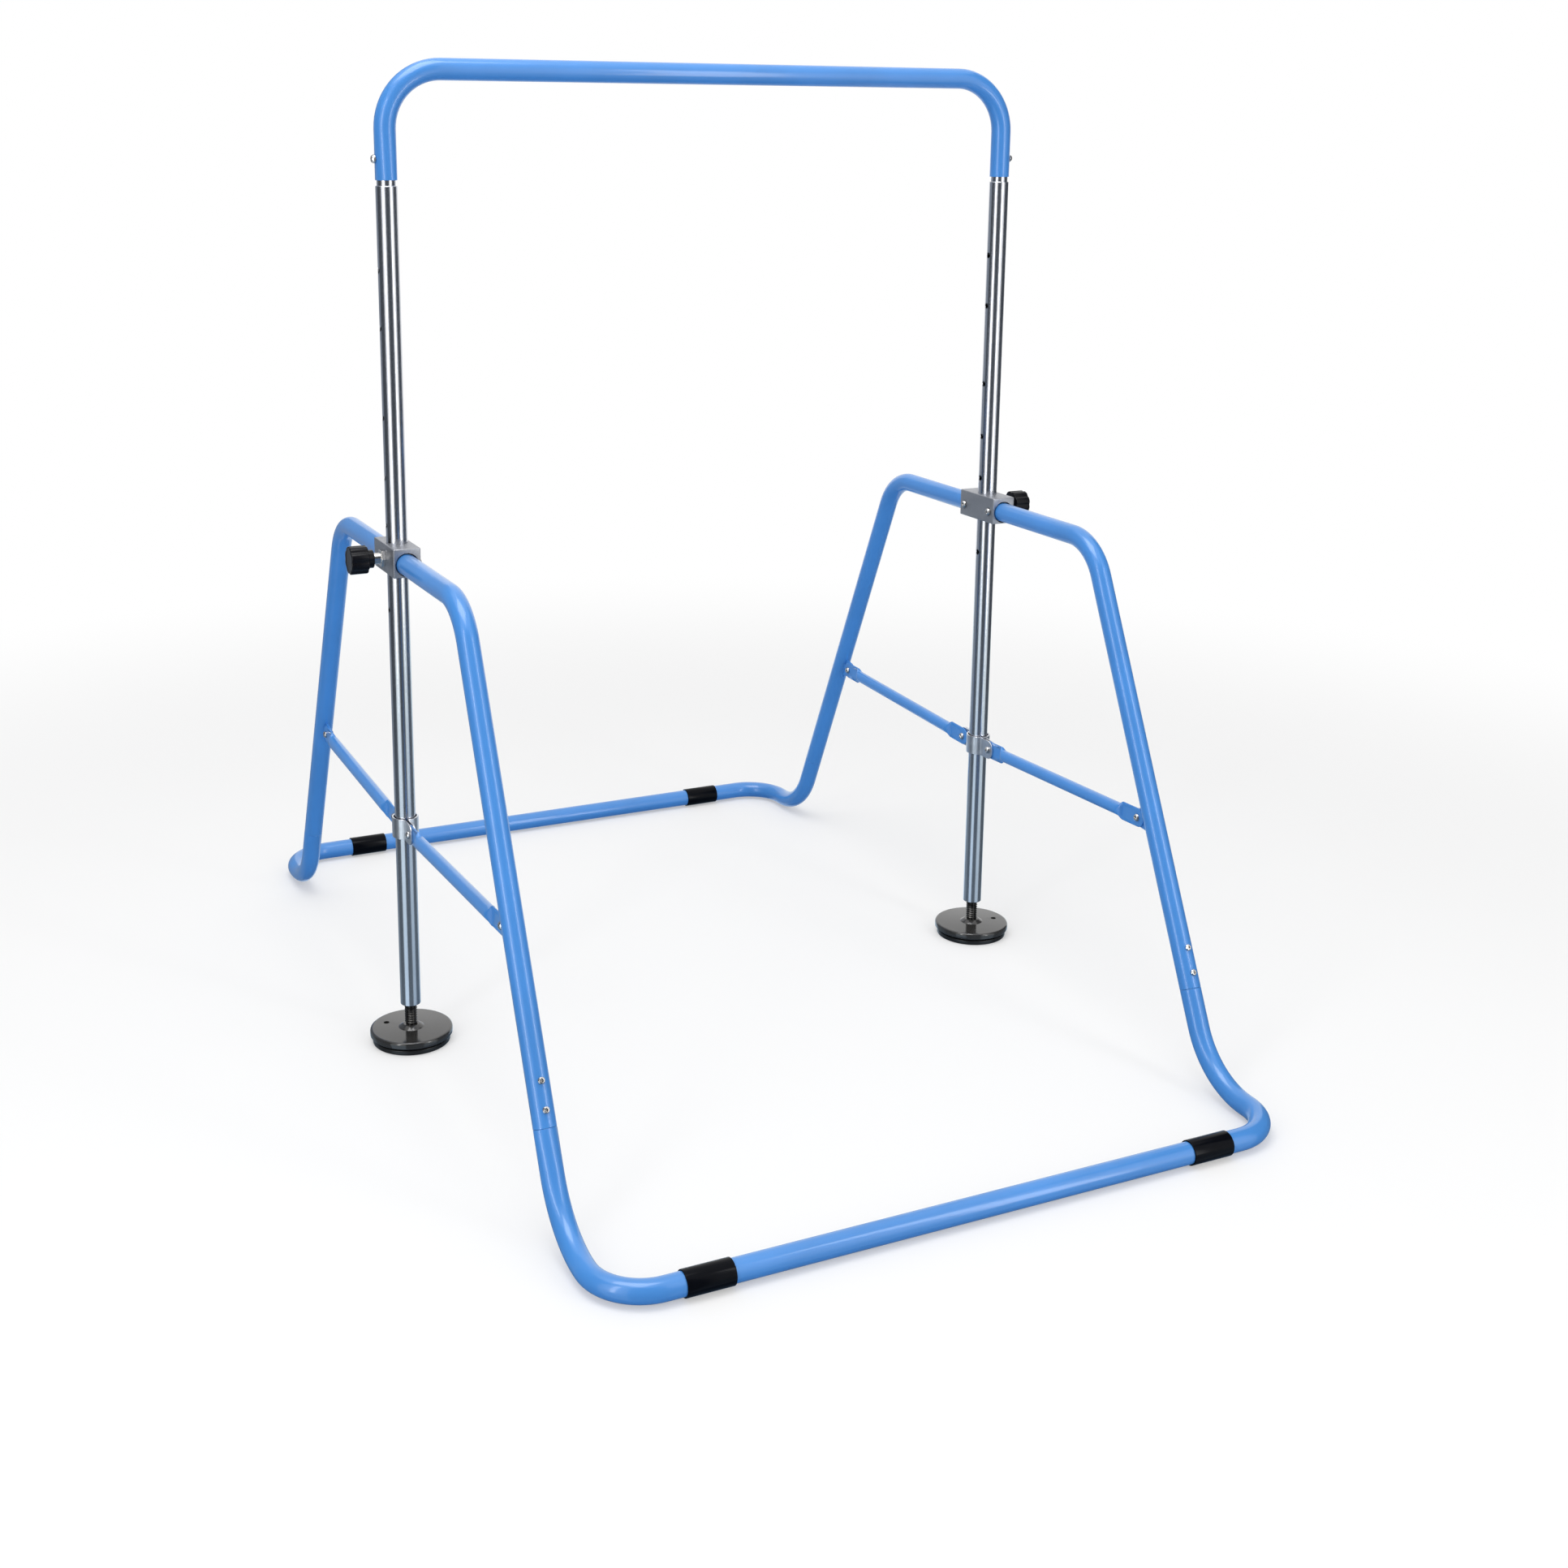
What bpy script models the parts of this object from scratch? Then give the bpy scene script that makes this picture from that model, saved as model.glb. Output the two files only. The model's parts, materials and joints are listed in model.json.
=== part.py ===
"""Gymnastics horizontal bar with an adjustable height, braced posts and screw feet.

Metres, +Z up. X runs along the bar, -Y is the front, and the origin is on the floor
under the middle of the bar.
"""
import math

import bmesh
import bpy
from mathutils import Matrix, Vector

# Tubes and clearances
FIT = 0.0003
TUBE_R = 0.016
TUBE_WALL = 0.0015
TUBE_SIDES = 16
BEND_STEP = math.radians(18)

# Crossbar
POST_SPACING = 1.046
BAR_HEIGHT = 1.5
BAR_BEND_R = 0.085
BAR_LEG_DROP = 0.157
BAR_SCREW_RISE = 0.03

# Posts with a narrow upper end, and their cross holes measured from the one that the plunger enters
POST_BOTTOM = 0.062
POST_CHAMFER = 0.001
NECK_GAP = 0.008
NECK_GRIP = 0.05
NECK_TAPER = 0.0012
INSERT_HEIGHT = 0.025
HOLE_R = 0.00475
HOLE_RISES = (-0.0805, 0.0, 0.0495, 0.1215, 0.2115, 0.3435, 0.4275)

# Blocks
BLOCK_WIDTH = 0.042
BLOCK_LENGTH = 0.104
BLOCK_HEIGHT = 0.044
BLOCK_EDGE = 0.002
BLOCK_RISE = 0.0025
BLOCK_WEB = 0.0062
BLOCK_SCREW_Y = 0.038

# Legs and floor frames
TOP_RUN_Z = 0.784
TOP_CORNER_Y = 0.312
TOP_BEND_R = 0.09
FLOOR_CORNER_Y = 0.676
FLOOR_BEND_R = 0.13
BASE_BEND_R = 0.075
BASE_STRAIGHT = 0.002
SLEEVE_WALL = 0.002
SLEEVE_LENGTH = 0.068
FRONT_SLEEVE_INSET = 0.133
REAR_SLEEVE_INSET = 0.159
LEG_JOINT_Z = 0.145
JOINT_SCREW_FROM = 0.0232
JOINT_SCREW_STEP = 0.038
JOINT_GRIP = 0.08
JOINT_ROOT = 0.015

# Braces, their ears and the collars
BRACE_R = 0.01
BRACE_WALL = 0.0012
BRACE_SIDES = 12
FLAT_SLIT = 0.0004
FLAT_REACH = 0.0145
FLAT_LENGTH = 0.038
FLAT_RAMP = 0.013
EAR_THICKNESS = 0.004
EAR_R = 0.0145
EAR_ROOT = 0.017
EAR_REACH = 0.038
LEG_BOLT_Z = 0.373
COLLAR_Z = 0.359
COLLAR_HEIGHT = 0.032
COLLAR_GAP = 0.0016
COLLAR_WALL = 0.0026
COLLAR_BOLT_Y = 0.044
COLLAR_EAR_TIP = 0.0575
COLLAR_EAR_ROUND = 0.013

# Plungers, measured outward from the post's axis
PIN_R = 0.004
PIN_TIP = 0.0166
PIN_COLLAR_R = 0.0062
PIN_COLLAR_FROM = 0.03
PIN_COLLAR_WIDTH = 0.003
PIN_SHAFT_R = 0.003
PIN_END = 0.066
PLUNGER_THREAD_R = 0.0077
FLANGE_FLATS = 0.024
FLANGE_WIDTH = 0.006
BARREL_R = 0.0085
BARREL_END = 0.046
BARREL_CAP = 0.002
CHAMBER_R = 0.0065
SPRING_R = 0.0047
SPRING_WIRE_R = 0.0005
SPRING_TURNS = 5
SPRING_STEPS = 8
KNOB_FROM = 0.0383
KNOB_NECK_R = 0.0138
KNOB_NECK_END = 0.0475
KNOB_R = 0.0215
KNOB_END = 0.075
KNOB_LOBES = 8
KNOB_FLUTE = 0.0018
KNOB_CAVITY_R = 0.0092
KNOB_CAVITY_END = 0.0563

# Feet
PAD_R = 0.061
PAD_HEIGHT = 0.0075
PAD_NECK_R = 0.056
DISC_FROM = 0.0115
DISC_R = 0.065
DISC_TOP = 0.022
DISC_ROUND = 0.004
DISC_HOLE_R = 0.0045
DISC_HOLE_REACH = 0.043
DOME_R = 0.019
DOME_HEIGHT = 0.005
SPINDLE_R = 0.01
SPINDLE_ROOT_R = 0.0088
SPINDLE_FOOT_R = 0.0085
SPINDLE_TOP = 0.115
THREAD_PITCH = 0.004

# Fasteners
SCREW_R = 0.003
HEAD_R = 0.005
HEAD_HEIGHT = 0.003
BOLT_HEAD_R = 0.0062
BOLT_HEAD_HEIGHT = 0.0038
BAR_HEAD_R = 0.0065
BAR_HEAD_HEIGHT = 0.005
SOCKET_FLATS = 0.004
SOCKET_DEPTH = 0.0018
NUT_FLATS = 0.01
NUT_HEIGHT = 0.005
SCREW_SIDES = 12
HOLE_SIDES = 8
POST_HOLE_SIDES = 10

# Derived places
BASE_Z = TUBE_R + SLEEVE_WALL
PIN_Z = TOP_RUN_Z + BLOCK_RISE
BAR_LEG_END = BAR_HEIGHT - BAR_LEG_DROP
POST_TOP = BAR_LEG_END - NECK_GAP
LEAN = math.atan2(FLOOR_CORNER_Y - TOP_CORNER_Y, TOP_RUN_Z - BASE_Z)
FLOOR_TURN = math.pi / 2 - LEAN
BASE_Y = FLOOR_CORNER_Y + FLOOR_BEND_R * math.tan(FLOOR_TURN / 2) + BASE_STRAIGHT + BASE_BEND_R
TUBE_BORE_R = TUBE_R - TUBE_WALL
FLAT_THICKNESS = 2 * BRACE_WALL + FLAT_SLIT
BRACE_SHIFT = -(EAR_THICKNESS / 2 + FIT + FLAT_THICKNESS / 2)
SIDES = (("left", -1), ("right", 1))
ENDS = (("front", -1), ("rear", 1))

for old in list(bpy.data.objects):
    bpy.data.objects.remove(old, do_unlink=True)


def material(name, colour, metallic, roughness):
    """Principled material of one colour."""
    made = bpy.data.materials.new(name)
    made.use_nodes = True
    shader = made.node_tree.nodes["Principled BSDF"]
    shader.inputs["Base Color"].default_value = (*colour, 1)
    shader.inputs["Metallic"].default_value = metallic
    shader.inputs["Roughness"].default_value = roughness
    made.diffuse_color = (*colour, 1)
    return made


BLUE = material("blue_powder_coat", (0.075, 0.235, 0.66), 0.0, 0.35)
CHROME = material("chromed_steel", (0.72, 0.74, 0.78), 1.0, 0.16)
STEEL = material("stainless_steel", (0.6, 0.59, 0.57), 1.0, 0.3)
ALUMINIUM = material("cast_aluminium", (0.42, 0.43, 0.45), 0.9, 0.45)
KNOB_BLACK = material("black_plastic", (0.018, 0.02, 0.024), 0.0, 0.3)
FOOT_BLACK = material("black_foot_plastic", (0.035, 0.036, 0.04), 0.0, 0.32)
RUBBER = material("black_rubber", (0.014, 0.014, 0.015), 0.0, 0.6)


def bore(radius, sides=TUBE_SIDES):
    """Corner radius of a hole with flat sides that clears a round piece."""
    return (radius + FIT) / math.cos(math.pi / sides)


def inner_fit(radius, sides=TUBE_SIDES):
    """Radius of a round piece that clears the flat sides of a bore."""
    return radius * math.cos(math.pi / sides) - FIT


NECK_R = inner_fit(TUBE_BORE_R)
NECK_BORE_R = NECK_R - TUBE_WALL
SCREW_HOLE_R = bore(SCREW_R, HOLE_SIDES)


def finish(bm, name, smooth_angle=35):
    """Mesh of a closed shape with its faces out, smooth over its round sides."""
    bmesh.ops.recalc_face_normals(bm, faces=bm.faces)
    mesh = bpy.data.meshes.new(name)
    bm.to_mesh(mesh)
    bm.free()
    mesh.shade_smooth()
    mesh.set_sharp_from_angle(angle=math.radians(smooth_angle))
    return mesh


def empty(name, location, parent=None):
    """Empty that carries the pieces of one body."""
    made = bpy.data.objects.new(name, None)
    bpy.context.collection.objects.link(made)
    made.parent = parent
    made.location = location
    return made


def place(name, mesh, mat, parent, location=(0, 0, 0), rotation=None):
    """Object of a mesh, at a place in its parent's frame."""
    made = bpy.data.objects.new(name, mesh)
    bpy.context.collection.objects.link(made)
    if not mesh.materials:
        mesh.materials.append(mat)
    made.parent = parent
    made.location = location
    if rotation is not None:
        made.rotation_euler = rotation
    return made


def aim(point, direction):
    """Transform that takes +Z to a direction at a point."""
    turn = Vector(direction).to_track_quat("Z", "Y").to_matrix().to_4x4()
    return Matrix.Translation(point) @ turn


def lathe(name, profile, steps, outline=None):
    """Body turned about Z from (radius, height) points, which start and end on the axis or close up."""
    bm = bmesh.new()
    verts = [bm.verts.new((radius, 0, height)) for radius, height in profile]
    edges = [bm.edges.new(pair) for pair in zip(verts, verts[1:])]
    if profile[0][0] > 0:
        edges.append(bm.edges.new((verts[-1], verts[0])))
    bmesh.ops.spin(bm, geom=verts + edges, cent=(0, 0, 0), axis=(0, 0, 1), angle=2 * math.pi,
                   steps=steps, use_merge=True)
    bmesh.ops.remove_doubles(bm, verts=bm.verts, dist=1e-7)
    if outline:
        for vert in bm.verts:
            radius = math.hypot(vert.co.x, vert.co.y)
            if radius > 0:
                factor = outline(radius, math.atan2(vert.co.y, vert.co.x), vert.co.z) / radius
                vert.co.x *= factor
                vert.co.y *= factor
    return finish(bm, name)


def rods(name, specs, sides):
    """Separate closed cylinders, each from one point to another with its radius."""
    bm = bmesh.new()
    for start, end, radius in specs:
        start, end = Vector(start), Vector(end)
        matrix = aim((start + end) / 2, end - start)
        bmesh.ops.create_cone(bm, cap_ends=True, segments=sides, radius1=radius, radius2=radius,
                              depth=(end - start).length, matrix=matrix)
    return finish(bm, name)


def boolean(target, mesh, operation="DIFFERENCE"):
    """Cuts a mesh in world space out of an object, or joins it on."""
    tool = bpy.data.objects.new(f"{target.name}_{operation.lower()}_{len(target.modifiers)}", mesh)
    bpy.context.collection.objects.link(tool)
    tool.hide_render = True
    tool.display_type = "WIRE"
    modifier = target.modifiers.new(operation.title(), "BOOLEAN")
    modifier.operation = operation
    modifier.solver = "EXACT"
    modifier.object = tool


def drill(target, specs, sides=HOLE_SIDES):
    """Drills round holes through an object."""
    boolean(target, rods(f"{target.name}_drill", specs, sides))


def route(corners, radii):
    """Points of a path through corners, each inner one rounded to its radius."""
    corners = [Vector(corner) for corner in corners]
    points = [corners[0]]
    for before, corner, after, radius in zip(corners, corners[1:], corners[2:], radii):
        into, out = (corner - before).normalized(), (after - corner).normalized()
        turn = into.angle(out)
        start = corner - into * radius * math.tan(turn / 2)
        inward = (out - into * into.dot(out)).normalized()
        centre = start + inward * radius
        count = math.ceil(turn / BEND_STEP - 1e-6)
        for step in range(count + 1):
            angle = turn * step / count
            points.append(centre + radius * (into * math.sin(angle) - inward * math.cos(angle)))
    points.append(corners[-1])
    return points


def tube(name, points, radius, wall, sides=TUBE_SIDES):
    """Open-ended tube along a path, from a bevelled curve with a wall."""
    curve = bpy.data.curves.new(name, "CURVE")
    curve.dimensions = "3D"
    curve.bevel_depth = radius
    curve.bevel_resolution = (sides - 4) // 2
    spline = curve.splines.new("POLY")
    spline.points.add(len(points) - 1)
    for slot, point in zip(spline.points, points):
        slot.co = (*point, 1)
    guide = bpy.data.objects.new(name, curve)
    bpy.context.collection.objects.link(guide)
    solid = guide.modifiers.new("Wall", "SOLIDIFY")
    solid.thickness = wall
    solid.offset = -1
    solid.use_even_offset = True
    evaluated = guide.evaluated_get(bpy.context.evaluated_depsgraph_get())
    mesh = bpy.data.meshes.new_from_object(evaluated)
    bpy.data.objects.remove(guide, do_unlink=True)
    bm = bmesh.new()
    bm.from_mesh(mesh)
    bpy.data.meshes.remove(mesh)
    return finish(bm, name)


def plate(name, outline, depth):
    """Flat plate from a (y, z) outline, centred on X = 0."""
    bm = bmesh.new()
    face = bm.faces.new([bm.verts.new((-depth / 2, y, z)) for y, z in outline])
    grown = bmesh.ops.extrude_face_region(bm, geom=[face])
    moved = [item for item in grown["geom"] if isinstance(item, bmesh.types.BMVert)]
    bmesh.ops.translate(bm, verts=moved, vec=(depth, 0, 0))
    return finish(bm, name)


def hexagon(radius, angle):
    """Distance to the side of a hexagon with its corners at this radius."""
    from_flat = (angle % (math.pi / 3)) - math.pi / 6
    return radius * math.cos(math.pi / 6) / math.cos(from_flat)


def screw(name, length, head_r=HEAD_R, head_height=HEAD_HEIGHT):
    """Button-head screw with a hexagon socket, its head's seat at Z = 0 and its shank downward."""
    socket_r = SOCKET_FLATS / 2 / math.cos(math.pi / 6)
    profile = [(0, head_height - SOCKET_DEPTH), (socket_r, head_height - SOCKET_DEPTH),
               (socket_r, head_height), (head_r * 0.86, head_height * 0.7), (head_r, 0),
               (SCREW_R, 0), (SCREW_R, -length), (0, -length)]

    def outline(radius, angle, height):
        inside = height > 0 and radius < socket_r + FIT
        return hexagon(socket_r, angle) if inside else radius

    return lathe(name, profile, SCREW_SIDES, outline)


def weld_nut(target, seat):
    """Joins a hexagon nut onto a face, sunk a little into it; its hole is drilled afterwards."""
    corner_r = NUT_FLATS / 2 / math.cos(math.pi / 6)
    blank = rods("nut", [((0, 0, -2 * FIT), (0, 0, NUT_HEIGHT), corner_r)], 6)
    blank.transform(seat)
    boolean(target, blank, "UNION")


def fasten(name, mesh, seat, parent):
    """Places a fastener with its head's seat at a point of world space, its shank behind it."""
    place(name, mesh, STEEL, parent, seat.translation - parent.location, seat.to_euler())


def leg_y(z):
    """Distance of a leg's sloping axis from the post's axis at a height."""
    return TOP_CORNER_Y + (TOP_RUN_Z - z) * math.tan(LEAN)


def down_leg(end):
    """Direction down a front or rear leg."""
    return Vector((0, end * math.sin(LEAN), -math.cos(LEAN)))


def off_leg(end):
    """Direction square to a leg, outward and up."""
    return Vector((0, end * math.cos(LEAN), math.sin(LEAN)))


frame = empty("frame", (0, 0, 0))
bar = empty("bar", (0, 0, PIN_Z))
bpy.context.view_layer.update()


def post_x(side):
    """X of a post's axis."""
    return side * POST_SPACING / 2


# Crossbar and posts, joined by the posts' narrow ends and a screw each
bar_path = route([(post_x(-1), 0, BAR_LEG_END), (post_x(-1), 0, BAR_HEIGHT),
                  (post_x(1), 0, BAR_HEIGHT), (post_x(1), 0, BAR_LEG_END)], [BAR_BEND_R] * 2)
crossbar_mesh = tube("crossbar", [point - Vector((0, 0, BAR_HEIGHT)) for point in bar_path],
                     TUBE_R, TUBE_WALL)
crossbar = place("crossbar", crossbar_mesh, BLUE, bar, (0, 0, BAR_HEIGHT - PIN_Z))
neck_top = BAR_LEG_END + NECK_GRIP
insert_top = POST_BOTTOM + INSERT_HEIGHT
insert_r = bore(SPINDLE_R)
post_mesh = lathe("post", [(NECK_BORE_R, neck_top), (NECK_R, neck_top), (NECK_R, POST_TOP),
                           (TUBE_R, POST_TOP - NECK_TAPER), (TUBE_R, POST_BOTTOM + POST_CHAMFER),
                           (TUBE_R - POST_CHAMFER, POST_BOTTOM), (insert_r, POST_BOTTOM),
                           (insert_r, insert_top), (TUBE_BORE_R, insert_top),
                           (TUBE_BORE_R, POST_TOP - 2 * NECK_TAPER), (NECK_BORE_R, POST_TOP - NECK_TAPER)],
                  TUBE_SIDES)
tube_screw_length = 2 * TUBE_WALL + TUBE_R / 8
tube_screw_mesh = screw("tube_screw", tube_screw_length)
bar_screw_mesh = screw("bar_screw", tube_screw_length, BAR_HEAD_R, BAR_HEAD_HEIGHT)
bar_holes = []
for side_name, side in SIDES:
    seat = Vector((post_x(side) + side * (TUBE_R + FIT), 0, BAR_LEG_END + BAR_SCREW_RISE))
    fasten(f"{side_name}_crossbar_screw", bar_screw_mesh, aim(seat, (side, 0, 0)), bar)
    hole = (seat, seat - Vector((side * TUBE_R, 0, 0)), SCREW_HOLE_R)
    bar_holes.append(hole)
    post = place(f"{side_name}_post", post_mesh, CHROME, bar, (post_x(side), 0, -PIN_Z))
    drill(post, [hole])
    through = Vector((1.5 * TUBE_R, 0, 0))
    levels = [Vector((post_x(side), 0, PIN_Z + rise)) for rise in HOLE_RISES]
    drill(post, [(level - through, level + through, HOLE_R) for level in levels], POST_HOLE_SIDES)
drill(crossbar, bar_holes)

# Blocks, whose bores hold the posts and the upper ends of the legs
LEG_END_Y = bore(TUBE_R) + BLOCK_WEB
block_screw_mesh = screw("block_screw", BLOCK_WIDTH / 2 - TUBE_R, BOLT_HEAD_R, BOLT_HEAD_HEIGHT)
for side_name, side in SIDES:
    bm = bmesh.new()
    bmesh.ops.create_cube(bm, size=1, matrix=Matrix.Diagonal((BLOCK_WIDTH, BLOCK_LENGTH, BLOCK_HEIGHT, 1)))
    block = place(f"{side_name}_block", finish(bm, "block"), ALUMINIUM, frame, (post_x(side), 0, PIN_Z))
    rounding = block.modifiers.new("Edges", "BEVEL")
    rounding.width = BLOCK_EDGE
    rounding.segments = 2
    drill(block, [((post_x(side), 0, PIN_Z - BLOCK_HEIGHT), (post_x(side), 0, PIN_Z + BLOCK_HEIGHT),
                   bore(TUBE_R))], TUBE_SIDES)
    drill(block, [((post_x(side), end * (LEG_END_Y - FIT), TOP_RUN_Z),
                   (post_x(side), end * BLOCK_LENGTH, TOP_RUN_Z), bore(TUBE_R)) for _, end in ENDS],
          TUBE_SIDES)
    drill(block, [((post_x(side), 0, PIN_Z), (post_x(side) + side * BLOCK_WIDTH, 0, PIN_Z),
                   bore(PLUNGER_THREAD_R, SCREW_SIDES))], SCREW_SIDES)
    holes = []
    for end_name, end in ENDS:
        seat = Vector((post_x(side) - side * (BLOCK_WIDTH / 2 + FIT), end * BLOCK_SCREW_Y, TOP_RUN_Z))
        fasten(f"{side_name}_{end_name}_block_screw", block_screw_mesh, aim(seat, (-side, 0, 0)), frame)
        holes.append((seat, seat + Vector((side * BLOCK_WIDTH / 2, 0, 0)), SCREW_HOLE_R))
    drill(block, holes)

# Legs with their brace ears, floor frames whose narrow ends enter the legs, and sleeves
ear_face = BRACE_SHIFT + FLAT_THICKNESS / 2 + FIT + EAR_THICKNESS
for end_name, end in ENDS:
    joint = Vector((0, end * leg_y(LEG_JOINT_Z), LEG_JOINT_Z))
    leg_bolt = Vector((0, end * (leg_y(LEG_BOLT_Z) - EAR_REACH), LEG_BOLT_Z))
    leg_path = route([(0, end * LEG_END_Y, TOP_RUN_Z), (0, end * TOP_CORNER_Y, TOP_RUN_Z),
                      joint - down_leg(end) * FIT], [TOP_BEND_R])
    leg_mesh = tube("leg", [point - Vector((0, 0, TOP_RUN_Z)) for point in leg_path], TUBE_R, TUBE_WALL)
    to_root = (TUBE_R - TUBE_WALL * 0.6) / math.cos(LEAN)
    ear_outline = [(end * (leg_y(z) - to_root), z) for z in (leg_bolt.z - EAR_ROOT, leg_bolt.z + EAR_ROOT)]
    for step in range(7):
        angle = math.pi / 2 + step * math.pi / 6
        ear_outline.append((leg_bolt.y + end * EAR_R * math.cos(angle), leg_bolt.z + EAR_R * math.sin(angle)))
    base_path = route([(post_x(-1), joint.y, joint.z), (post_x(-1), end * FLOOR_CORNER_Y, BASE_Z),
                       (post_x(-1), end * BASE_Y, BASE_Z), (post_x(1), end * BASE_Y, BASE_Z),
                       (post_x(1), end * FLOOR_CORNER_Y, BASE_Z), (post_x(1), joint.y, joint.z)],
                      [FLOOR_BEND_R, BASE_BEND_R, BASE_BEND_R, FLOOR_BEND_R])
    base_place = Vector((0, end * BASE_Y, BASE_Z))
    base = place(f"{end_name}_base_tube",
                 tube("base_tube", [point - base_place for point in base_path], TUBE_R, TUBE_WALL),
                 BLUE, frame, base_place)
    root_r = TUBE_R - TUBE_WALL / 2
    base_holes = []
    sleeve_inset = FRONT_SLEEVE_INSET if end < 0 else REAR_SLEEVE_INSET
    sleeve_r = TUBE_R + SLEEVE_WALL
    sleeve_mesh = lathe("sleeve", [(bore(TUBE_R), SLEEVE_LENGTH / 2), (sleeve_r, SLEEVE_LENGTH / 2),
                                   (sleeve_r, -SLEEVE_LENGTH / 2), (bore(TUBE_R), -SLEEVE_LENGTH / 2)],
                        TUBE_SIDES)
    for side_name, side in SIDES:
        across = Vector((post_x(side), 0, 0))
        leg = place(f"{side_name}_{end_name}_leg", leg_mesh, BLUE, frame, across + Vector((0, 0, TOP_RUN_Z)))
        ear = plate("ear", ear_outline, EAR_THICKNESS)
        ear.transform(Matrix.Translation(across))
        boolean(leg, ear, "UNION")
        weld_nut(leg, aim(across + leg_bolt + Vector((ear_face, 0, 0)), (1, 0, 0)))
        neck = lathe("base_neck", [(NECK_BORE_R, JOINT_GRIP), (NECK_R, JOINT_GRIP), (NECK_R, -2 * FIT),
                                   (root_r, -2 * FIT), (root_r, -JOINT_ROOT), (NECK_BORE_R, -JOINT_ROOT)],
                     TUBE_SIDES)
        neck.transform(aim(across + joint, -down_leg(end)))
        boolean(base, neck, "UNION")
        holes = []
        for place_name, rise in (("lower", JOINT_SCREW_FROM), ("upper", JOINT_SCREW_FROM + JOINT_SCREW_STEP)):
            on_axis = across + joint - down_leg(end) * rise
            seat = on_axis + off_leg(end) * (TUBE_R + FIT)
            fasten(f"{side_name}_{end_name}_leg_screw_{place_name}", tube_screw_mesh,
                   aim(seat, off_leg(end)), frame)
            holes.append((seat, on_axis, SCREW_HOLE_R))
        bolt_way = Vector((TUBE_R, 0, 0))
        drill(leg, [(across + leg_bolt - bolt_way, across + leg_bolt + bolt_way, SCREW_HOLE_R), *holes])
        base_holes += holes
        place(f"{end_name}_{side_name}_sleeve", sleeve_mesh, RUBBER, frame,
              (post_x(side) - side * sleeve_inset, end * BASE_Y, BASE_Z), (0, math.pi / 2, 0))
    drill(base, base_holes)


def flattened(angle, half_width, half_thickness, radius, share):
    """Point of a brace's section, from flat at share 0 to round at share 1."""
    x = math.cos(angle) * (half_thickness + (radius - half_thickness) * share)
    z = math.sin(angle) * (half_width + (radius - half_width) * share)
    return x, z


def brace_body(name, length):
    """Brace along +Y from its collar bolt at the origin to its leg bolt, with both ends flattened."""
    half_width = math.pi * BRACE_R / 2 - BRACE_WALL / 2
    inner_width = half_width - BRACE_WALL
    stations = [(-FLAT_REACH, 0.7, 0.0), (-FLAT_REACH * 0.5, 1.0, 0.0), (FLAT_LENGTH, 1.0, 0.0),
                (FLAT_LENGTH + FLAT_RAMP, 1.0, 1.0)]
    stations += [(length - y, width, share) for y, width, share in reversed(stations)]
    bm = bmesh.new()
    rings = []
    for skin in (0, 1):
        wide = inner_width if skin else half_width
        thick = FLAT_SLIT / 2 if skin else FLAT_THICKNESS / 2
        radius = BRACE_R - BRACE_WALL * skin
        for y, width, share in reversed(stations) if skin else stations:
            ring = []
            for step in range(BRACE_SIDES):
                angle = 2 * math.pi * step / BRACE_SIDES
                x, z = flattened(angle, wide * width, thick, radius, share)
                ring.append(bm.verts.new((x, y, z)))
            rings.append(ring)
    for first, second in zip(rings, rings[1:] + rings[:1]):
        for here, there in zip(range(BRACE_SIDES), range(-1, BRACE_SIDES - 1)):
            bm.faces.new((first[here], first[there], second[there], second[here]))
    return finish(bm, name)


# Braces between the collars and the ears, and their bolts
leg_bolt_y = leg_y(LEG_BOLT_Z) - EAR_REACH
brace_run = math.hypot(leg_bolt_y - COLLAR_BOLT_Y, LEG_BOLT_Z - COLLAR_Z)
brace_tilt = math.atan2(LEG_BOLT_Z - COLLAR_Z, leg_bolt_y - COLLAR_BOLT_Y)
brace_mesh = brace_body("brace", brace_run)
half_grip = FLAT_THICKNESS / 2 + FIT
collar_half_x = half_grip + COLLAR_WALL
brace_bolt_mesh = screw("brace_bolt", 2 * half_grip + EAR_THICKNESS + NUT_HEIGHT,
                        BOLT_HEAD_R, BOLT_HEAD_HEIGHT)
collar_bolt_mesh = screw("collar_bolt", 2 * collar_half_x + NUT_HEIGHT, BOLT_HEAD_R, BOLT_HEAD_HEIGHT)
for side_name, side in SIDES:
    brace_x = post_x(side) + BRACE_SHIFT
    for end_name, end in ENDS:
        collar_bolt = Vector((brace_x, end * COLLAR_BOLT_Y, COLLAR_Z))
        leg_bolt = Vector((brace_x, end * leg_bolt_y, LEG_BOLT_Z))
        turn = (brace_tilt, 0, 0) if end > 0 else (-brace_tilt, 0, math.pi)
        brace = place(f"{side_name}_{end_name}_brace", brace_mesh, BLUE, frame, collar_bolt, turn)
        cross = Vector((BRACE_R, 0, 0))
        drill(brace, [(bolt - cross, bolt + cross, SCREW_HOLE_R) for bolt in (collar_bolt, leg_bolt)])
        fasten(f"{side_name}_{end_name}_brace_bolt", brace_bolt_mesh,
               aim(leg_bolt - Vector((half_grip, 0, 0)), (-1, 0, 0)), frame)
        seat_depth = collar_half_x + FIT if end < 0 else half_grip
        fasten(f"{side_name}_{end_name}_collar_bolt", collar_bolt_mesh,
               aim(collar_bolt - Vector((seat_depth, 0, 0)), (-1, 0, 0)), frame)


def clamp_plane(face, end):
    """X of the side that a collar half's ear turns to the other half, about the post's axis.

    The front brace lies between the two ears, and the rear brace on the -X side of both.
    """
    if end < 0:
        return BRACE_SHIFT + face * half_grip
    return BRACE_SHIFT + half_grip + COLLAR_WALL + (FIT if face > 0 else 0)


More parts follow.
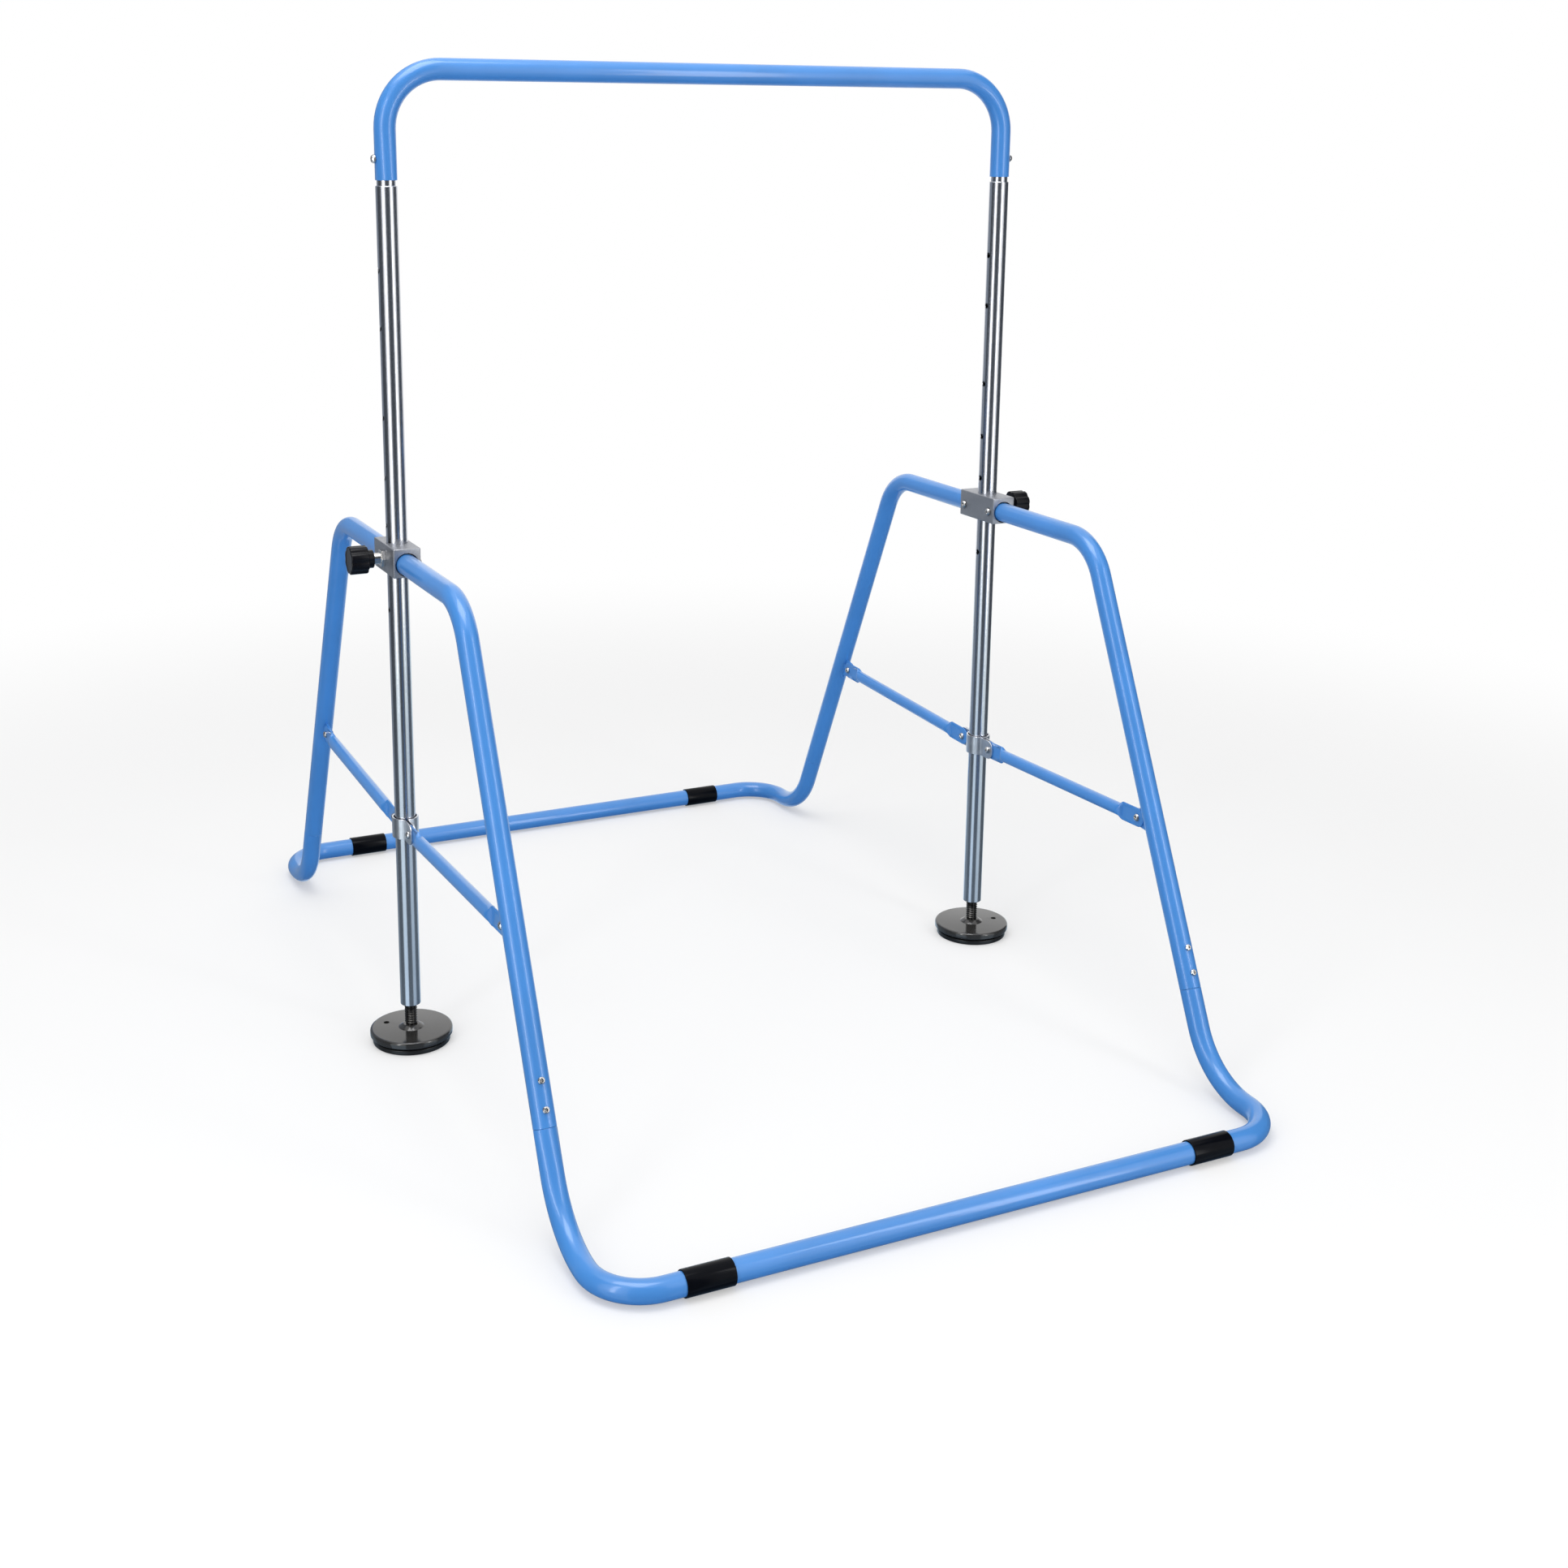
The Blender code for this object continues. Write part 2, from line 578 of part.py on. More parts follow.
def collar_half(name, face):
    """Half of a collar, on the +X or -X side of its post, about the post's axis."""
    inner_r = bore(TUBE_R) + COLLAR_GAP
    corners = []
    for depth, flip in ((0, 1), (COLLAR_WALL, -1)):
        radius = inner_r + depth
        first, last = [clamp_plane(face, end * flip) + face * depth for end in (1, -1)]
        start = math.acos(face * first / radius)
        sweep = start + math.acos(face * last / radius)
        corners.append((first, flip * COLLAR_EAR_TIP))
        for step in range(TUBE_SIDES // 2 + 1):
            angle = start - sweep * step / (TUBE_SIDES // 2)
            corners.append((face * radius * math.cos(angle), flip * radius * math.sin(angle)))
        corners.append((last, -flip * COLLAR_EAR_TIP))
    bm = bmesh.new()
    floor = bm.faces.new([bm.verts.new((x, y, -COLLAR_HEIGHT / 2)) for x, y in corners])
    grown = bmesh.ops.extrude_face_region(bm, geom=[floor])
    moved = [item for item in grown["geom"] if isinstance(item, bmesh.types.BMVert)]
    bmesh.ops.translate(bm, verts=moved, vec=(0, 0, COLLAR_HEIGHT))
    tips = [edge for edge in bm.edges
            if all(abs(abs(vert.co.y) - COLLAR_EAR_TIP) < FIT for vert in edge.verts)
            and abs(edge.verts[0].co.x - edge.verts[1].co.x) > FIT]
    bmesh.ops.bevel(bm, geom=tips, offset=COLLAR_EAR_ROUND, segments=3, profile=0.5, affect="EDGES")
    return finish(bm, name)


for side_name, side in SIDES:
    for half_name, face in (("outer", side), ("inner", -side)):
        half = place(f"{side_name}_collar_{half_name}", collar_half("collar", face), STEEL, frame,
                     (post_x(side), 0, COLLAR_Z))
        cross = Vector((BLOCK_WIDTH, 0, 0))
        bolts = []
        for _, end in ENDS:
            bolt = Vector((post_x(side), end * COLLAR_BOLT_Y, COLLAR_Z))
            bolts.append((bolt - cross, bolt + cross, SCREW_HOLE_R))
            if face > 0:
                outside = clamp_plane(face, end) + COLLAR_WALL
                weld_nut(half, aim(bolt + Vector((outside, 0, 0)), (1, 0, 0)))
        drill(half, bolts)

# Plungers: body and spring stay in the block, pin and knob slide toward the post
seat_u = BLOCK_WIDTH / 2 + FIT
flange_end = seat_u + FLANGE_WIDTH
flange_r = FLANGE_FLATS / 2 / math.cos(math.pi / 6)
chamber_end = BARREL_END - BARREL_CAP
nose_from = bore(TUBE_R) + FIT
body_mesh = lathe("plunger_body",
                  [(bore(PIN_R, SCREW_SIDES), seat_u), (bore(PIN_R, SCREW_SIDES), nose_from),
                   (PLUNGER_THREAD_R, nose_from), (PLUNGER_THREAD_R, seat_u), (flange_r, seat_u),
                   (flange_r, flange_end), (BARREL_R, flange_end), (BARREL_R, BARREL_END),
                   (bore(PIN_SHAFT_R, SCREW_SIDES), BARREL_END), (bore(PIN_SHAFT_R, SCREW_SIDES), chamber_end),
                   (CHAMBER_R, chamber_end), (CHAMBER_R, seat_u)], SCREW_SIDES,
                  lambda radius, angle, height: hexagon(flange_r, angle) if radius > BARREL_R + FIT else radius)
collar_end = PIN_COLLAR_FROM + PIN_COLLAR_WIDTH
pin_mesh = lathe("plunger_pin",
                 [(0, PIN_TIP), (PIN_R * 0.7, PIN_TIP), (PIN_R, PIN_TIP + PIN_R * 0.4), (PIN_R, PIN_COLLAR_FROM),
                  (PIN_COLLAR_R, PIN_COLLAR_FROM), (PIN_COLLAR_R, collar_end), (PIN_SHAFT_R, collar_end),
                  (PIN_SHAFT_R, PIN_END), (0, PIN_END)], SCREW_SIDES)
coil = []
coil_from = collar_end + FIT + SPRING_WIRE_R
coil_rise = chamber_end - FIT - SPRING_WIRE_R - coil_from
for step in range(SPRING_TURNS * SPRING_STEPS + 1):
    share = step / (SPRING_TURNS * SPRING_STEPS)
    angle = 2 * math.pi * SPRING_TURNS * share
    coil.append((SPRING_R * math.cos(angle), SPRING_R * math.sin(angle), coil_from + coil_rise * share))
knob_shoulder = (KNOB_R - KNOB_NECK_R) * 0.5
knob_mesh = lathe("knob",
                  [(0, PIN_END + FIT), (bore(PIN_SHAFT_R, 32), PIN_END + FIT),
                   (bore(PIN_SHAFT_R, 32), KNOB_CAVITY_END), (KNOB_CAVITY_R, KNOB_CAVITY_END),
                   (KNOB_CAVITY_R, KNOB_FROM), (KNOB_NECK_R, KNOB_FROM), (KNOB_NECK_R, KNOB_NECK_END),
                   (KNOB_R - knob_shoulder * 0.3, KNOB_NECK_END), (KNOB_R, KNOB_NECK_END + knob_shoulder * 0.5),
                   (KNOB_R, KNOB_END - knob_shoulder * 0.6), (KNOB_R - knob_shoulder * 0.5, KNOB_END),
                   (0, KNOB_END)], 4 * KNOB_LOBES,
                  lambda radius, angle, height: radius - KNOB_FLUTE * (1 + math.cos(KNOB_LOBES * angle)) / 2
                  if radius > KNOB_NECK_R + FIT else radius)
for side_name, side in SIDES:
    outward = (0, side * math.pi / 2, 0)
    place(f"{side_name}_plunger_body", body_mesh, STEEL, frame, (post_x(side), 0, PIN_Z), outward)
    spring_curve = bpy.data.curves.new("spring", "CURVE")
    spring_curve.dimensions = "3D"
    spring_curve.bevel_depth = SPRING_WIRE_R
    spring_curve.bevel_resolution = 0
    spring_curve.use_fill_caps = True
    coil_spline = spring_curve.splines.new("POLY")
    coil_spline.points.add(len(coil) - 1)
    for slot, point in zip(coil_spline.points, coil):
        slot.co = (*point, 1)
    place(f"{side_name}_plunger_spring", spring_curve, STEEL, frame, (post_x(side), 0, PIN_Z), outward)
    plunger = empty(f"{side_name}_plunger", (post_x(side), 0, PIN_Z))
    place(f"{side_name}_plunger_pin", pin_mesh, STEEL, plunger, (0, 0, 0), outward)
    place(f"{side_name}_knob", knob_mesh, KNOB_BLACK, plunger, (0, 0, 0), outward)

# Feet: a pad that stays flat, and a disc on a threaded spindle that turns on it
pad_mesh = lathe("foot_pad",
                 [(0, DISC_FROM - FIT), (PAD_NECK_R, DISC_FROM - FIT), (PAD_NECK_R, PAD_HEIGHT),
                  (PAD_R, PAD_HEIGHT), (PAD_R, 0), (0, 0)], 28)
disc_bore = bore(SPINDLE_FOOT_R)
disc_mesh = lathe("foot_disc",
                  [(disc_bore, DISC_TOP + DOME_HEIGHT), (DOME_R * 0.64, DISC_TOP + DOME_HEIGHT),
                   (DOME_R * 0.88, DISC_TOP + DOME_HEIGHT * 0.72), (DOME_R, DISC_TOP),
                   (DISC_R - DISC_ROUND, DISC_TOP), (DISC_R - DISC_ROUND * 0.3, DISC_TOP - DISC_ROUND * 0.3),
                   (DISC_R, DISC_TOP - DISC_ROUND), (DISC_R, DISC_FROM), (disc_bore, DISC_FROM)], 28)
spindle_profile = [(0, SPINDLE_TOP), (SPINDLE_ROOT_R, SPINDLE_TOP),
                   (SPINDLE_R, SPINDLE_TOP - (SPINDLE_R - SPINDLE_ROOT_R)), (SPINDLE_R, POST_BOTTOM + THREAD_PITCH)]
thread_from = DISC_TOP + DOME_HEIGHT + FIT
turns = int((POST_BOTTOM - thread_from) / THREAD_PITCH)
for turn in range(turns):
    crest = POST_BOTTOM - turn * THREAD_PITCH
    spindle_profile += [(SPINDLE_R, crest), (SPINDLE_ROOT_R, crest - THREAD_PITCH / 2)]
spindle_profile += [(SPINDLE_R, POST_BOTTOM - turns * THREAD_PITCH), (SPINDLE_R, thread_from),
                    (SPINDLE_FOOT_R, thread_from), (SPINDLE_FOOT_R, DISC_FROM), (0, DISC_FROM)]
spindle_mesh = lathe("foot_spindle", spindle_profile, SCREW_SIDES)
for side_name, side in SIDES:
    pad_mount = empty(f"{side_name}_foot_lift", (post_x(side), 0, 0))
    place(f"{side_name}_foot_pad", pad_mesh, RUBBER, pad_mount)
    screw_mount = empty(f"{side_name}_foot_turn", (0, 0, 0), pad_mount)
    place(f"{side_name}_foot_spindle", spindle_mesh, STEEL, screw_mount)
    disc = place(f"{side_name}_foot_disc", disc_mesh, FOOT_BLACK, screw_mount)
    hole_at = math.radians(140 if side < 0 else -10)
    hole = Vector((post_x(side) + DISC_HOLE_REACH * math.cos(hole_at), DISC_HOLE_REACH * math.sin(hole_at), 0))
    drill(disc, [(hole + Vector((0, 0, DISC_FROM / 2)), hole + Vector((0, 0, 2 * DISC_TOP)), DISC_HOLE_R)])
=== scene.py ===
"""Dresses the packed horizontal bar with round tubes, real threads, fasteners and finishes."""
import json
import math

import bmesh
import bpy
from bpy.props import FloatProperty, FloatVectorProperty, IntProperty, PointerProperty
from mathutils import Matrix, Vector

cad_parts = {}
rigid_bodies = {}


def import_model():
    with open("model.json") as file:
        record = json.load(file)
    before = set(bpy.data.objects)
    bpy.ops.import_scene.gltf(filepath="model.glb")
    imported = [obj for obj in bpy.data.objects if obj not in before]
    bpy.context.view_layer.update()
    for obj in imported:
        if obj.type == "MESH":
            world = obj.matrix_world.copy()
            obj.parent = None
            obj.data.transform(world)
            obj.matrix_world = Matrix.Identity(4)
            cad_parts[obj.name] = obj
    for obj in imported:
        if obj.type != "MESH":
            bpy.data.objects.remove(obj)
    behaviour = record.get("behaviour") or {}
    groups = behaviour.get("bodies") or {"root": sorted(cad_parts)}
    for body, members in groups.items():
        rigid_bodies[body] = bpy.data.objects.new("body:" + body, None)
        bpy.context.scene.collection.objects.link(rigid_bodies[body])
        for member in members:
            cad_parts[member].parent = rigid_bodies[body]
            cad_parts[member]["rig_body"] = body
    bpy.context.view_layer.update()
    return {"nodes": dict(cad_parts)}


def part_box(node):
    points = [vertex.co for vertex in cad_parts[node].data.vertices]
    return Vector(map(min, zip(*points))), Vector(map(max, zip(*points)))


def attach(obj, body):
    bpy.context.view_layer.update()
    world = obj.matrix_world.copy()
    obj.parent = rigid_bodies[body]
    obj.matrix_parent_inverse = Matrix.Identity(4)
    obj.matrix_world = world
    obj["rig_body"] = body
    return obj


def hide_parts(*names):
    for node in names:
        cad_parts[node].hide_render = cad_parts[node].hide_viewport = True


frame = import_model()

bl_info = {
    "name": "Gymnastics Horizontal Bar",
    "version": (1, 0, 0),
    "blender": (4, 5, 0),
    "location": "3D View > Sidebar > Horizontal Bar",
    "description": "Makes the tubes, fittings, fasteners and feet of a gymnastics horizontal bar",
    "category": "Add Mesh",
}

SIDES = (("left", -1), ("right", 1))
ENDS = (("front", -1), ("rear", 1))
# Play between pieces that fit into each other, and distance under which two points are one.
FIT = 0.0003
SAME_POINT = 1e-6


def middle(node):
    """Centre of a CAD node's box."""
    low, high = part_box(node)
    return (low + high) / 2


def length(name, description, default):
    """Property that holds a length in metres."""
    return FloatProperty(name=name, description=description, default=default, min=0, precision=4,
                         unit="LENGTH")


def lengths(name, description, default):
    """Property that holds two or three lengths in metres."""
    return FloatVectorProperty(name=name, description=description, default=default, size=len(default),
                               precision=4, unit="LENGTH")


def colour(name, description, default):
    """Property that holds a linear colour."""
    return FloatVectorProperty(name=name, description=description, default=default, min=0, max=1, size=3,
                               subtype="COLOR")


def share(name, description, default):
    """Property that holds a share from 0 to 1."""
    return FloatProperty(name=name, description=description, default=default, min=0, max=1,
                         subtype="FACTOR")


def count(name, description, default):
    """Property that holds a whole number."""
    return IntProperty(name=name, description=description, default=default, min=3)


class TubeSizes(bpy.types.PropertyGroup):
    """Sizes of the bent tubes and the posts."""
    radius: length("Tube radius", "Outer radius of the bar, posts, legs and floor tubes", 0.016)
    wall: length("Tube wall", "Wall thickness of the tubes", 0.0015)
    lip: length("Lip rounding", "Rounding of a sawn tube's lips", 0.0005)
    sides: count("Sides", "Faces round a tube", 48)
    bend_rings: count("Bend rings", "Rings of faces in each bend", 18)
    bar_height: length("Bar height", "Height of the bar's axis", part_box("crossbar")[1].z - 0.016)
    bar_bend: length("Bar bend", "Bend radius of the bar's corners", 0.085)
    bar_end: length("Bar end", "Height at which the bar's legs end", 1.343)
    post_bottom: length("Post bottom", "Height of the posts' lower ends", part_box("left_post")[0].z)
    neck_gap: length("Neck gap", "Bare neck between a post's shoulder and the bar", 0.008)
    neck_radius: length("Neck radius", "Radius of a post's narrow upper end", 0.0139)
    hole_radius: length("Hole radius", "Radius of the posts' cross holes", 0.00475)
    top_run: length("Top run", "Height of the legs' level upper ends", 0.784)
    top_corner: length("Top corner", "Reach of the legs' upper corner before it is rounded", 0.312)
    top_bend: length("Top bend", "Bend radius of the legs", 0.09)
    floor_corner: length("Floor corner", "Reach of the lower corner before it is rounded", 0.676)
    floor_bend: length("Floor bend", "Bend radius from the slope to the floor", 0.13)
    base_bend: length("Base bend", "Bend radius of the floor tubes' corners", 0.075)
    base_reach: length("Base reach", "Distance of the floor tubes' long run from the middle",
                       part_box("rear_base_tube")[1].y - 0.016)
    joint_height: length("Joint height", "Height of the seam between leg and floor tube", 0.145)


class FittingSizes(bpy.types.PropertyGroup):
    """Sizes of the blocks, braces, collars, sleeves and fasteners."""
    block: lengths("Block", "Width, length and height of a block", (0.042, 0.104, 0.044))
    block_edge: length("Block edge", "Rounding of the blocks' long edges", 0.0015)
    bore_mouth: length("Bore mouth", "Depth of the wider mouth of the blocks' leg bores", 0.012)
    screw_seat: lengths("Screw seat", "Radius and depth of the sunk ring round a block's screws",
                        (0.0074, 0.0009))
    sleeve_radius: length("Sleeve radius", "Outer radius of the rubber sleeves", 0.018)
    sleeve_length: length("Sleeve length", "Length of the rubber sleeves", 0.068)
    brace_radius: length("Brace radius", "Outer radius of the braces' round part", 0.01)
    flat_width: length("Flat half width", "Half the width of a brace's flattened ends", 0.0151)
    flat_thickness: length("Flat thickness", "Thickness of a brace's flattened ends", 0.0028)
    flat_reach: length("Flat reach", "Length of a brace past its bolt", 0.0145)
    flat_length: length("Flat length", "Length of a flattened end from its bolt to the shoulder", 0.038)
    flat_ramp: length("Flat ramp", "Length over which a flattened end becomes round", 0.013)
    ear_thickness: length("Ear thickness", "Thickness of the ears on the legs", 0.004)
    ear_radius: length("Ear radius", "Radius of the ears' round ends", 0.0145)
    ear_root: length("Ear root", "Half the height of the ears where they meet the legs", 0.017)
    ear_reach: length("Ear reach", "Distance of an ear's bolt from the leg's axis", 0.038)
    leg_bolt: length("Leg bolt", "Height of the bolts at the legs", 0.373)
    collar_height: length("Collar height", "Height of the collars", 0.032)
    collar_wall: length("Collar wall", "Sheet thickness of the collars", 0.0026)
    collar_gap: length("Collar gap", "Gap between a collar and its post", 0.0019)
    collar_bolt: length("Collar bolt", "Distance of a collar's bolts from the post's axis", 0.044)
    collar_tip: length("Collar tip", "Distance of a collar's ear tips from the post's axis", 0.0575)
    collar_strip: length("Collar strip", "Rise of the pressed strip beside each ear", 0.0011)
    screw_head: lengths("Screw head", "Radius and height of the screws' heads", (0.005, 0.003))
    bolt_head: lengths("Bolt head", "Radius and height of the bolts' heads", (0.0062, 0.0038))
    bar_head: lengths("Bar head", "Radius and height of the bar screws' heads", (0.0065, 0.005))
    nut_flats: length("Nut flats", "Width of the nuts across their flats", 0.01)


class PlungerSizes(bpy.types.PropertyGroup):
    """Sizes of the spring plungers and their knobs, measured outward from the post's axis."""
    pin_radius: length("Pin radius", "Radius of the pin that enters the post", 0.004)
    shaft_radius: length("Shaft radius", "Radius of the pin's thin shaft", 0.003)
    flange_flats: length("Flange flats", "Width of the hexagon across its flats", 0.024)
    barrel_radius: length("Barrel radius", "Radius of the barrel outside the hexagon", 0.0085)
    barrel_end: length("Barrel end", "Outer end of the barrel", 0.046)
    knob_radius: length("Knob radius", "Radius over the knob's lobes", 0.0215)
    knob_neck: length("Knob neck", "Radius of the knob's neck", 0.0138)
    knob_from: length("Knob from", "Inner end of the knob", 0.0383)
    knob_shoulder: length("Knob shoulder", "Place where the knob widens", 0.0475)
    knob_end: length("Knob end", "Outer end of the knob", 0.075)
    knob_flute: length("Knob flute", "Depth of the grooves between the lobes", 0.0018)
    lobes: count("Lobes", "Number of lobes round a knob", 8)


class FootSizes(bpy.types.PropertyGroup):
    """Sizes of the screw feet."""
    pad_radius: length("Pad radius", "Outer radius of the rubber pad", 0.061)
    pad_height: length("Pad height", "Height of the pad's wide ring", 0.0075)
    disc_radius: length("Disc radius", "Outer radius of the disc", 0.065)
    disc_from: length("Disc underside", "Height of the disc's underside", 0.0115)
    disc_top: length("Disc top", "Height of the disc's flat top", 0.022)
    disc_round: length("Disc rounding", "Rounding of the disc's upper edge", 0.004)
    dome_radius: length("Dome radius", "Radius of the boss round the spindle", 0.019)
    dome_height: length("Dome height", "Height of the boss over the disc", 0.005)
    spindle_radius: length("Spindle radius", "Radius of the thread's crests", 0.01)
    spindle_top: length("Spindle top", "Height of the spindle's upper end", 0.115)
    pitch: length("Thread pitch", "Rise of the thread in one turn", 0.004)


class Finishes(bpy.types.PropertyGroup):
    """Base colours of the finishes."""
    blue: colour("Blue powder coat", "Colour of the painted tubes", (0.058, 0.262, 0.68))
    chrome: colour("Chrome", "Colour of the plated posts", (0.66, 0.68, 0.73))
    steel: colour("Stainless steel", "Colour of the collars", (0.78, 0.80, 0.84))
    bright_steel: colour("Bright steel", "Colour of the screws and plungers", (0.70, 0.69, 0.68))
    aluminium: colour("Aluminium", "Colour of the blocks", (0.40, 0.41, 0.44))
    knob: colour("Knob plastic", "Colour of the knobs", (0.005, 0.005, 0.007))
    foot: colour("Foot plastic", "Colour of the feet's discs", (0.030, 0.029, 0.028))
    black_steel: colour("Blackened steel", "Colour of the feet's spindles", (0.07, 0.068, 0.066))
    rubber: colour("Rubber", "Colour of the sleeves", (0.0025, 0.003, 0.005))
    pad: colour("Pad rubber", "Colour of the feet's pads", (0.016, 0.016, 0.016))


class StageSettings(bpy.types.PropertyGroup):
    """Camera, floor and lamps."""
    camera_place: FloatVectorProperty(name="Camera", description="Place of the camera", subtype="XYZ",
                                      default=(-1.3365, -2.8633, 1.4293), size=3, unit="LENGTH")
    camera_turn: FloatVectorProperty(name="Camera turn", description="Yaw, pitch and roll of the camera",
                                     default=(-0.4426, -0.2263, 0.0076), size=3, unit="ROTATION")
    lens: FloatProperty(name="Lens", description="Focal length in millimetres", default=45.782)
    shift: FloatVectorProperty(name="Shift", description="Sideways and upward shift of the lens",
                               default=(0.03877, -0.12976), size=2)
    floor: colour("Floor", "Colour of the floor near the object", (0.90, 0.90, 0.90))
    bounce: colour("Bounce", "Colour that the floor throws back on the object", (0.46, 0.57, 0.68))
    key: FloatProperty(name="Key lamp", description="Power of the large lamp overhead", default=78,
                       unit="POWER")
    side: FloatProperty(name="Side lamps", description="Power of each tall lamp beside the object",
                        default=18, unit="POWER")
    fill: share("Fill", "Strength of the even light from all round", 0.65)


class Layout:
    """Places that follow from the sizes."""

    def __init__(self, scene):
        tube, fitting = scene.bar_tubes, scene.bar_fittings
        self.tube, self.fitting = tube, fitting
        self.plunger, self.foot = scene.bar_plungers, scene.bar_feet
        # The floor tubes lie on their sleeves.
        self.base_z = fitting.sleeve_radius
        self.pin_z = middle("left_block").z
        self.collar_z = middle("left_collar_outer").z
        self.post = {side_name: middle(f"{side_name}_post").x for side_name, _ in SIDES}
        self.lean = math.atan2(tube.floor_corner - tube.top_corner, tube.top_run - self.base_z)
        # The braces' flat ends lie against the -X side of the ears.
        self.grip = fitting.flat_thickness / 2 + FIT
        self.brace_shift = -(fitting.ear_thickness / 2 + self.grip)
        self.leg_bolt_y = self.leg_y(fitting.leg_bolt) - fitting.ear_reach

    def leg_y(self, z):
        """Distance of a leg's sloping axis from the post's axis at a height."""
        return self.tube.top_corner + (self.tube.top_run - z) * math.tan(self.lean)

    def down_leg(self, end):
        """Direction down a front or rear leg."""
        return Vector((0, end * math.sin(self.lean), -math.cos(self.lean)))

    def off_leg(self, end):
        """Direction square to a leg, outward and up."""
        return Vector((0, end * math.cos(self.lean), math.sin(self.lean)))

    def clamp(self, face, end):
        """X of the side that a collar half's ear turns to the other half, about the post's axis."""
        if end < 0:
            return self.brace_shift + face * self.grip
        return self.brace_shift + self.grip + self.fitting.collar_wall + (FIT if face > 0 else 0)

    def outward(self, side_name, side):
        """Transform whose Z runs outward along a plunger, from the post's axis."""
        return aim((self.post[side_name], 0, self.pin_z), (side, 0, 0))


def aim(point, direction):
    """Transform that takes +Z to a direction at a point."""
    turn = Vector(direction).to_track_quat("Z", "Y").to_matrix().to_4x4()
    return Matrix.Translation(point) @ turn


# Meshes

def closed_mesh(bm, name, smooth_angle=40):
    """Mesh of a closed shape with its faces out, smooth but for its sharp edges."""
    bmesh.ops.recalc_face_normals(bm, faces=bm.faces)
    mesh = bpy.data.meshes.new(name)
    bm.to_mesh(mesh)
    bm.free()
    return smoothed(mesh, smooth_angle)


def smoothed(mesh, smooth_angle=40):
    """Smooth shading that stops at edges over an angle."""
    mesh.shade_smooth()
    mesh.set_sharp_from_angle(angle=math.radians(smooth_angle))
    return mesh


def link(name, data):
    """New object of a mesh in the scene."""
    made = bpy.data.objects.new(name, data)
    bpy.context.scene.collection.objects.link(made)
    return made


def baked(obj):
    """Plain mesh of an object with its modifiers applied; the object goes."""
    depsgraph = bpy.context.evaluated_depsgraph_get()
    mesh = bpy.data.meshes.new_from_object(obj.evaluated_get(depsgraph), preserve_all_data_layers=True,
                                           depsgraph=depsgraph)
    bpy.data.objects.remove(obj, do_unlink=True)
    return mesh


def joined(name, meshes):
    """One mesh of several, each with its own normals."""
    bm = bmesh.new()
    normals = []
    for mesh in meshes:
        if not mesh.polygons[0].use_smooth:
            smoothed(mesh)
        normals += [tuple(corner.vector) for corner in mesh.corner_normals]
        bm.from_mesh(mesh)
    made = bpy.data.meshes.new(name)
    bm.to_mesh(made)
    bm.free()
    made.shade_smooth()
    made.normals_split_custom_set(normals)
    return made


def finish_of(slot):
    """Finish that this script makes for one of the part's material slots."""
    return bpy.data.materials[f"{slot}_finish"]


def show(name, mesh, slot, *nodes, finish=None):
    """Shows a finished mesh in the place of its CAD nodes, riding on their body.

    Its finish is the slot's own, or another one where a name is given.
    """
    mesh.name = name
    mesh.materials.clear()
    mesh.materials.append(finish_of(finish or slot))
    piece = link(name, mesh)
    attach(piece, frame["nodes"][nodes[0]]["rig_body"])
    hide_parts(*nodes)
    return piece


def soften(corners, steps=4, closed=False):
    """Points of an outline from (across, along, rounding) corners, each rounded by its own length."""
    points = []
    for index, (across, along, rounding) in enumerate(corners):
        corner = Vector((across, along))
        if rounding == 0 or (not closed and index in (0, len(corners) - 1)):
            points.append(corner)
            continue
        before = Vector(corners[index - 1][:2]) - corner
        after = Vector(corners[(index + 1) % len(corners)][:2]) - corner
        reach = min(rounding / math.tan(before.angle(after) / 2), before.length * 0.5, after.length * 0.5)
        start, end = corner + before.normalized() * reach, corner + after.normalized() * reach
        for step in range(steps + 1):
            t = step / steps
            points.append(start * (1 - t) ** 2 + corner * 2 * t * (1 - t) + end * t ** 2)
    return points


def turned(name, corners, steps, closed=False, outline=None):
    """Body turned about Z from softened (radius, height, rounding) corners."""
    bm = bmesh.new()
    points = soften(corners, closed=closed)
    verts = [bm.verts.new((point.x, 0, point.y)) for point in points]
    edges = [bm.edges.new(pair) for pair in zip(verts, verts[1:])]
    if closed:
        edges.append(bm.edges.new((verts[-1], verts[0])))
    bmesh.ops.spin(bm, geom=verts + edges, cent=(0, 0, 0), axis=(0, 0, 1), angle=2 * math.pi,
                   steps=steps, use_merge=True)
    bmesh.ops.remove_doubles(bm, verts=bm.verts, dist=SAME_POINT)
    if outline:
        for vert in bm.verts:
            radius = math.hypot(vert.co.x, vert.co.y)
            if radius > SAME_POINT:
                factor = outline(radius, math.atan2(vert.co.y, vert.co.x), vert.co.z) / radius
                vert.co.x *= factor
                vert.co.y *= factor
    return closed_mesh(bm, name)


def extruded(outline, depth, axis):
    """Open bmesh of a plate with an outline of points, thickened both ways along an axis."""
    bm = bmesh.new()
    half = Vector(axis) * depth / 2
    face = bm.faces.new([bm.verts.new(Vector(point) - half) for point in outline])
    grown = bmesh.ops.extrude_face_region(bm, geom=[face])
    moved = [item for item in grown["geom"] if isinstance(item, bmesh.types.BMVert)]
    bmesh.ops.translate(bm, verts=moved, vec=2 * half)
    return bm


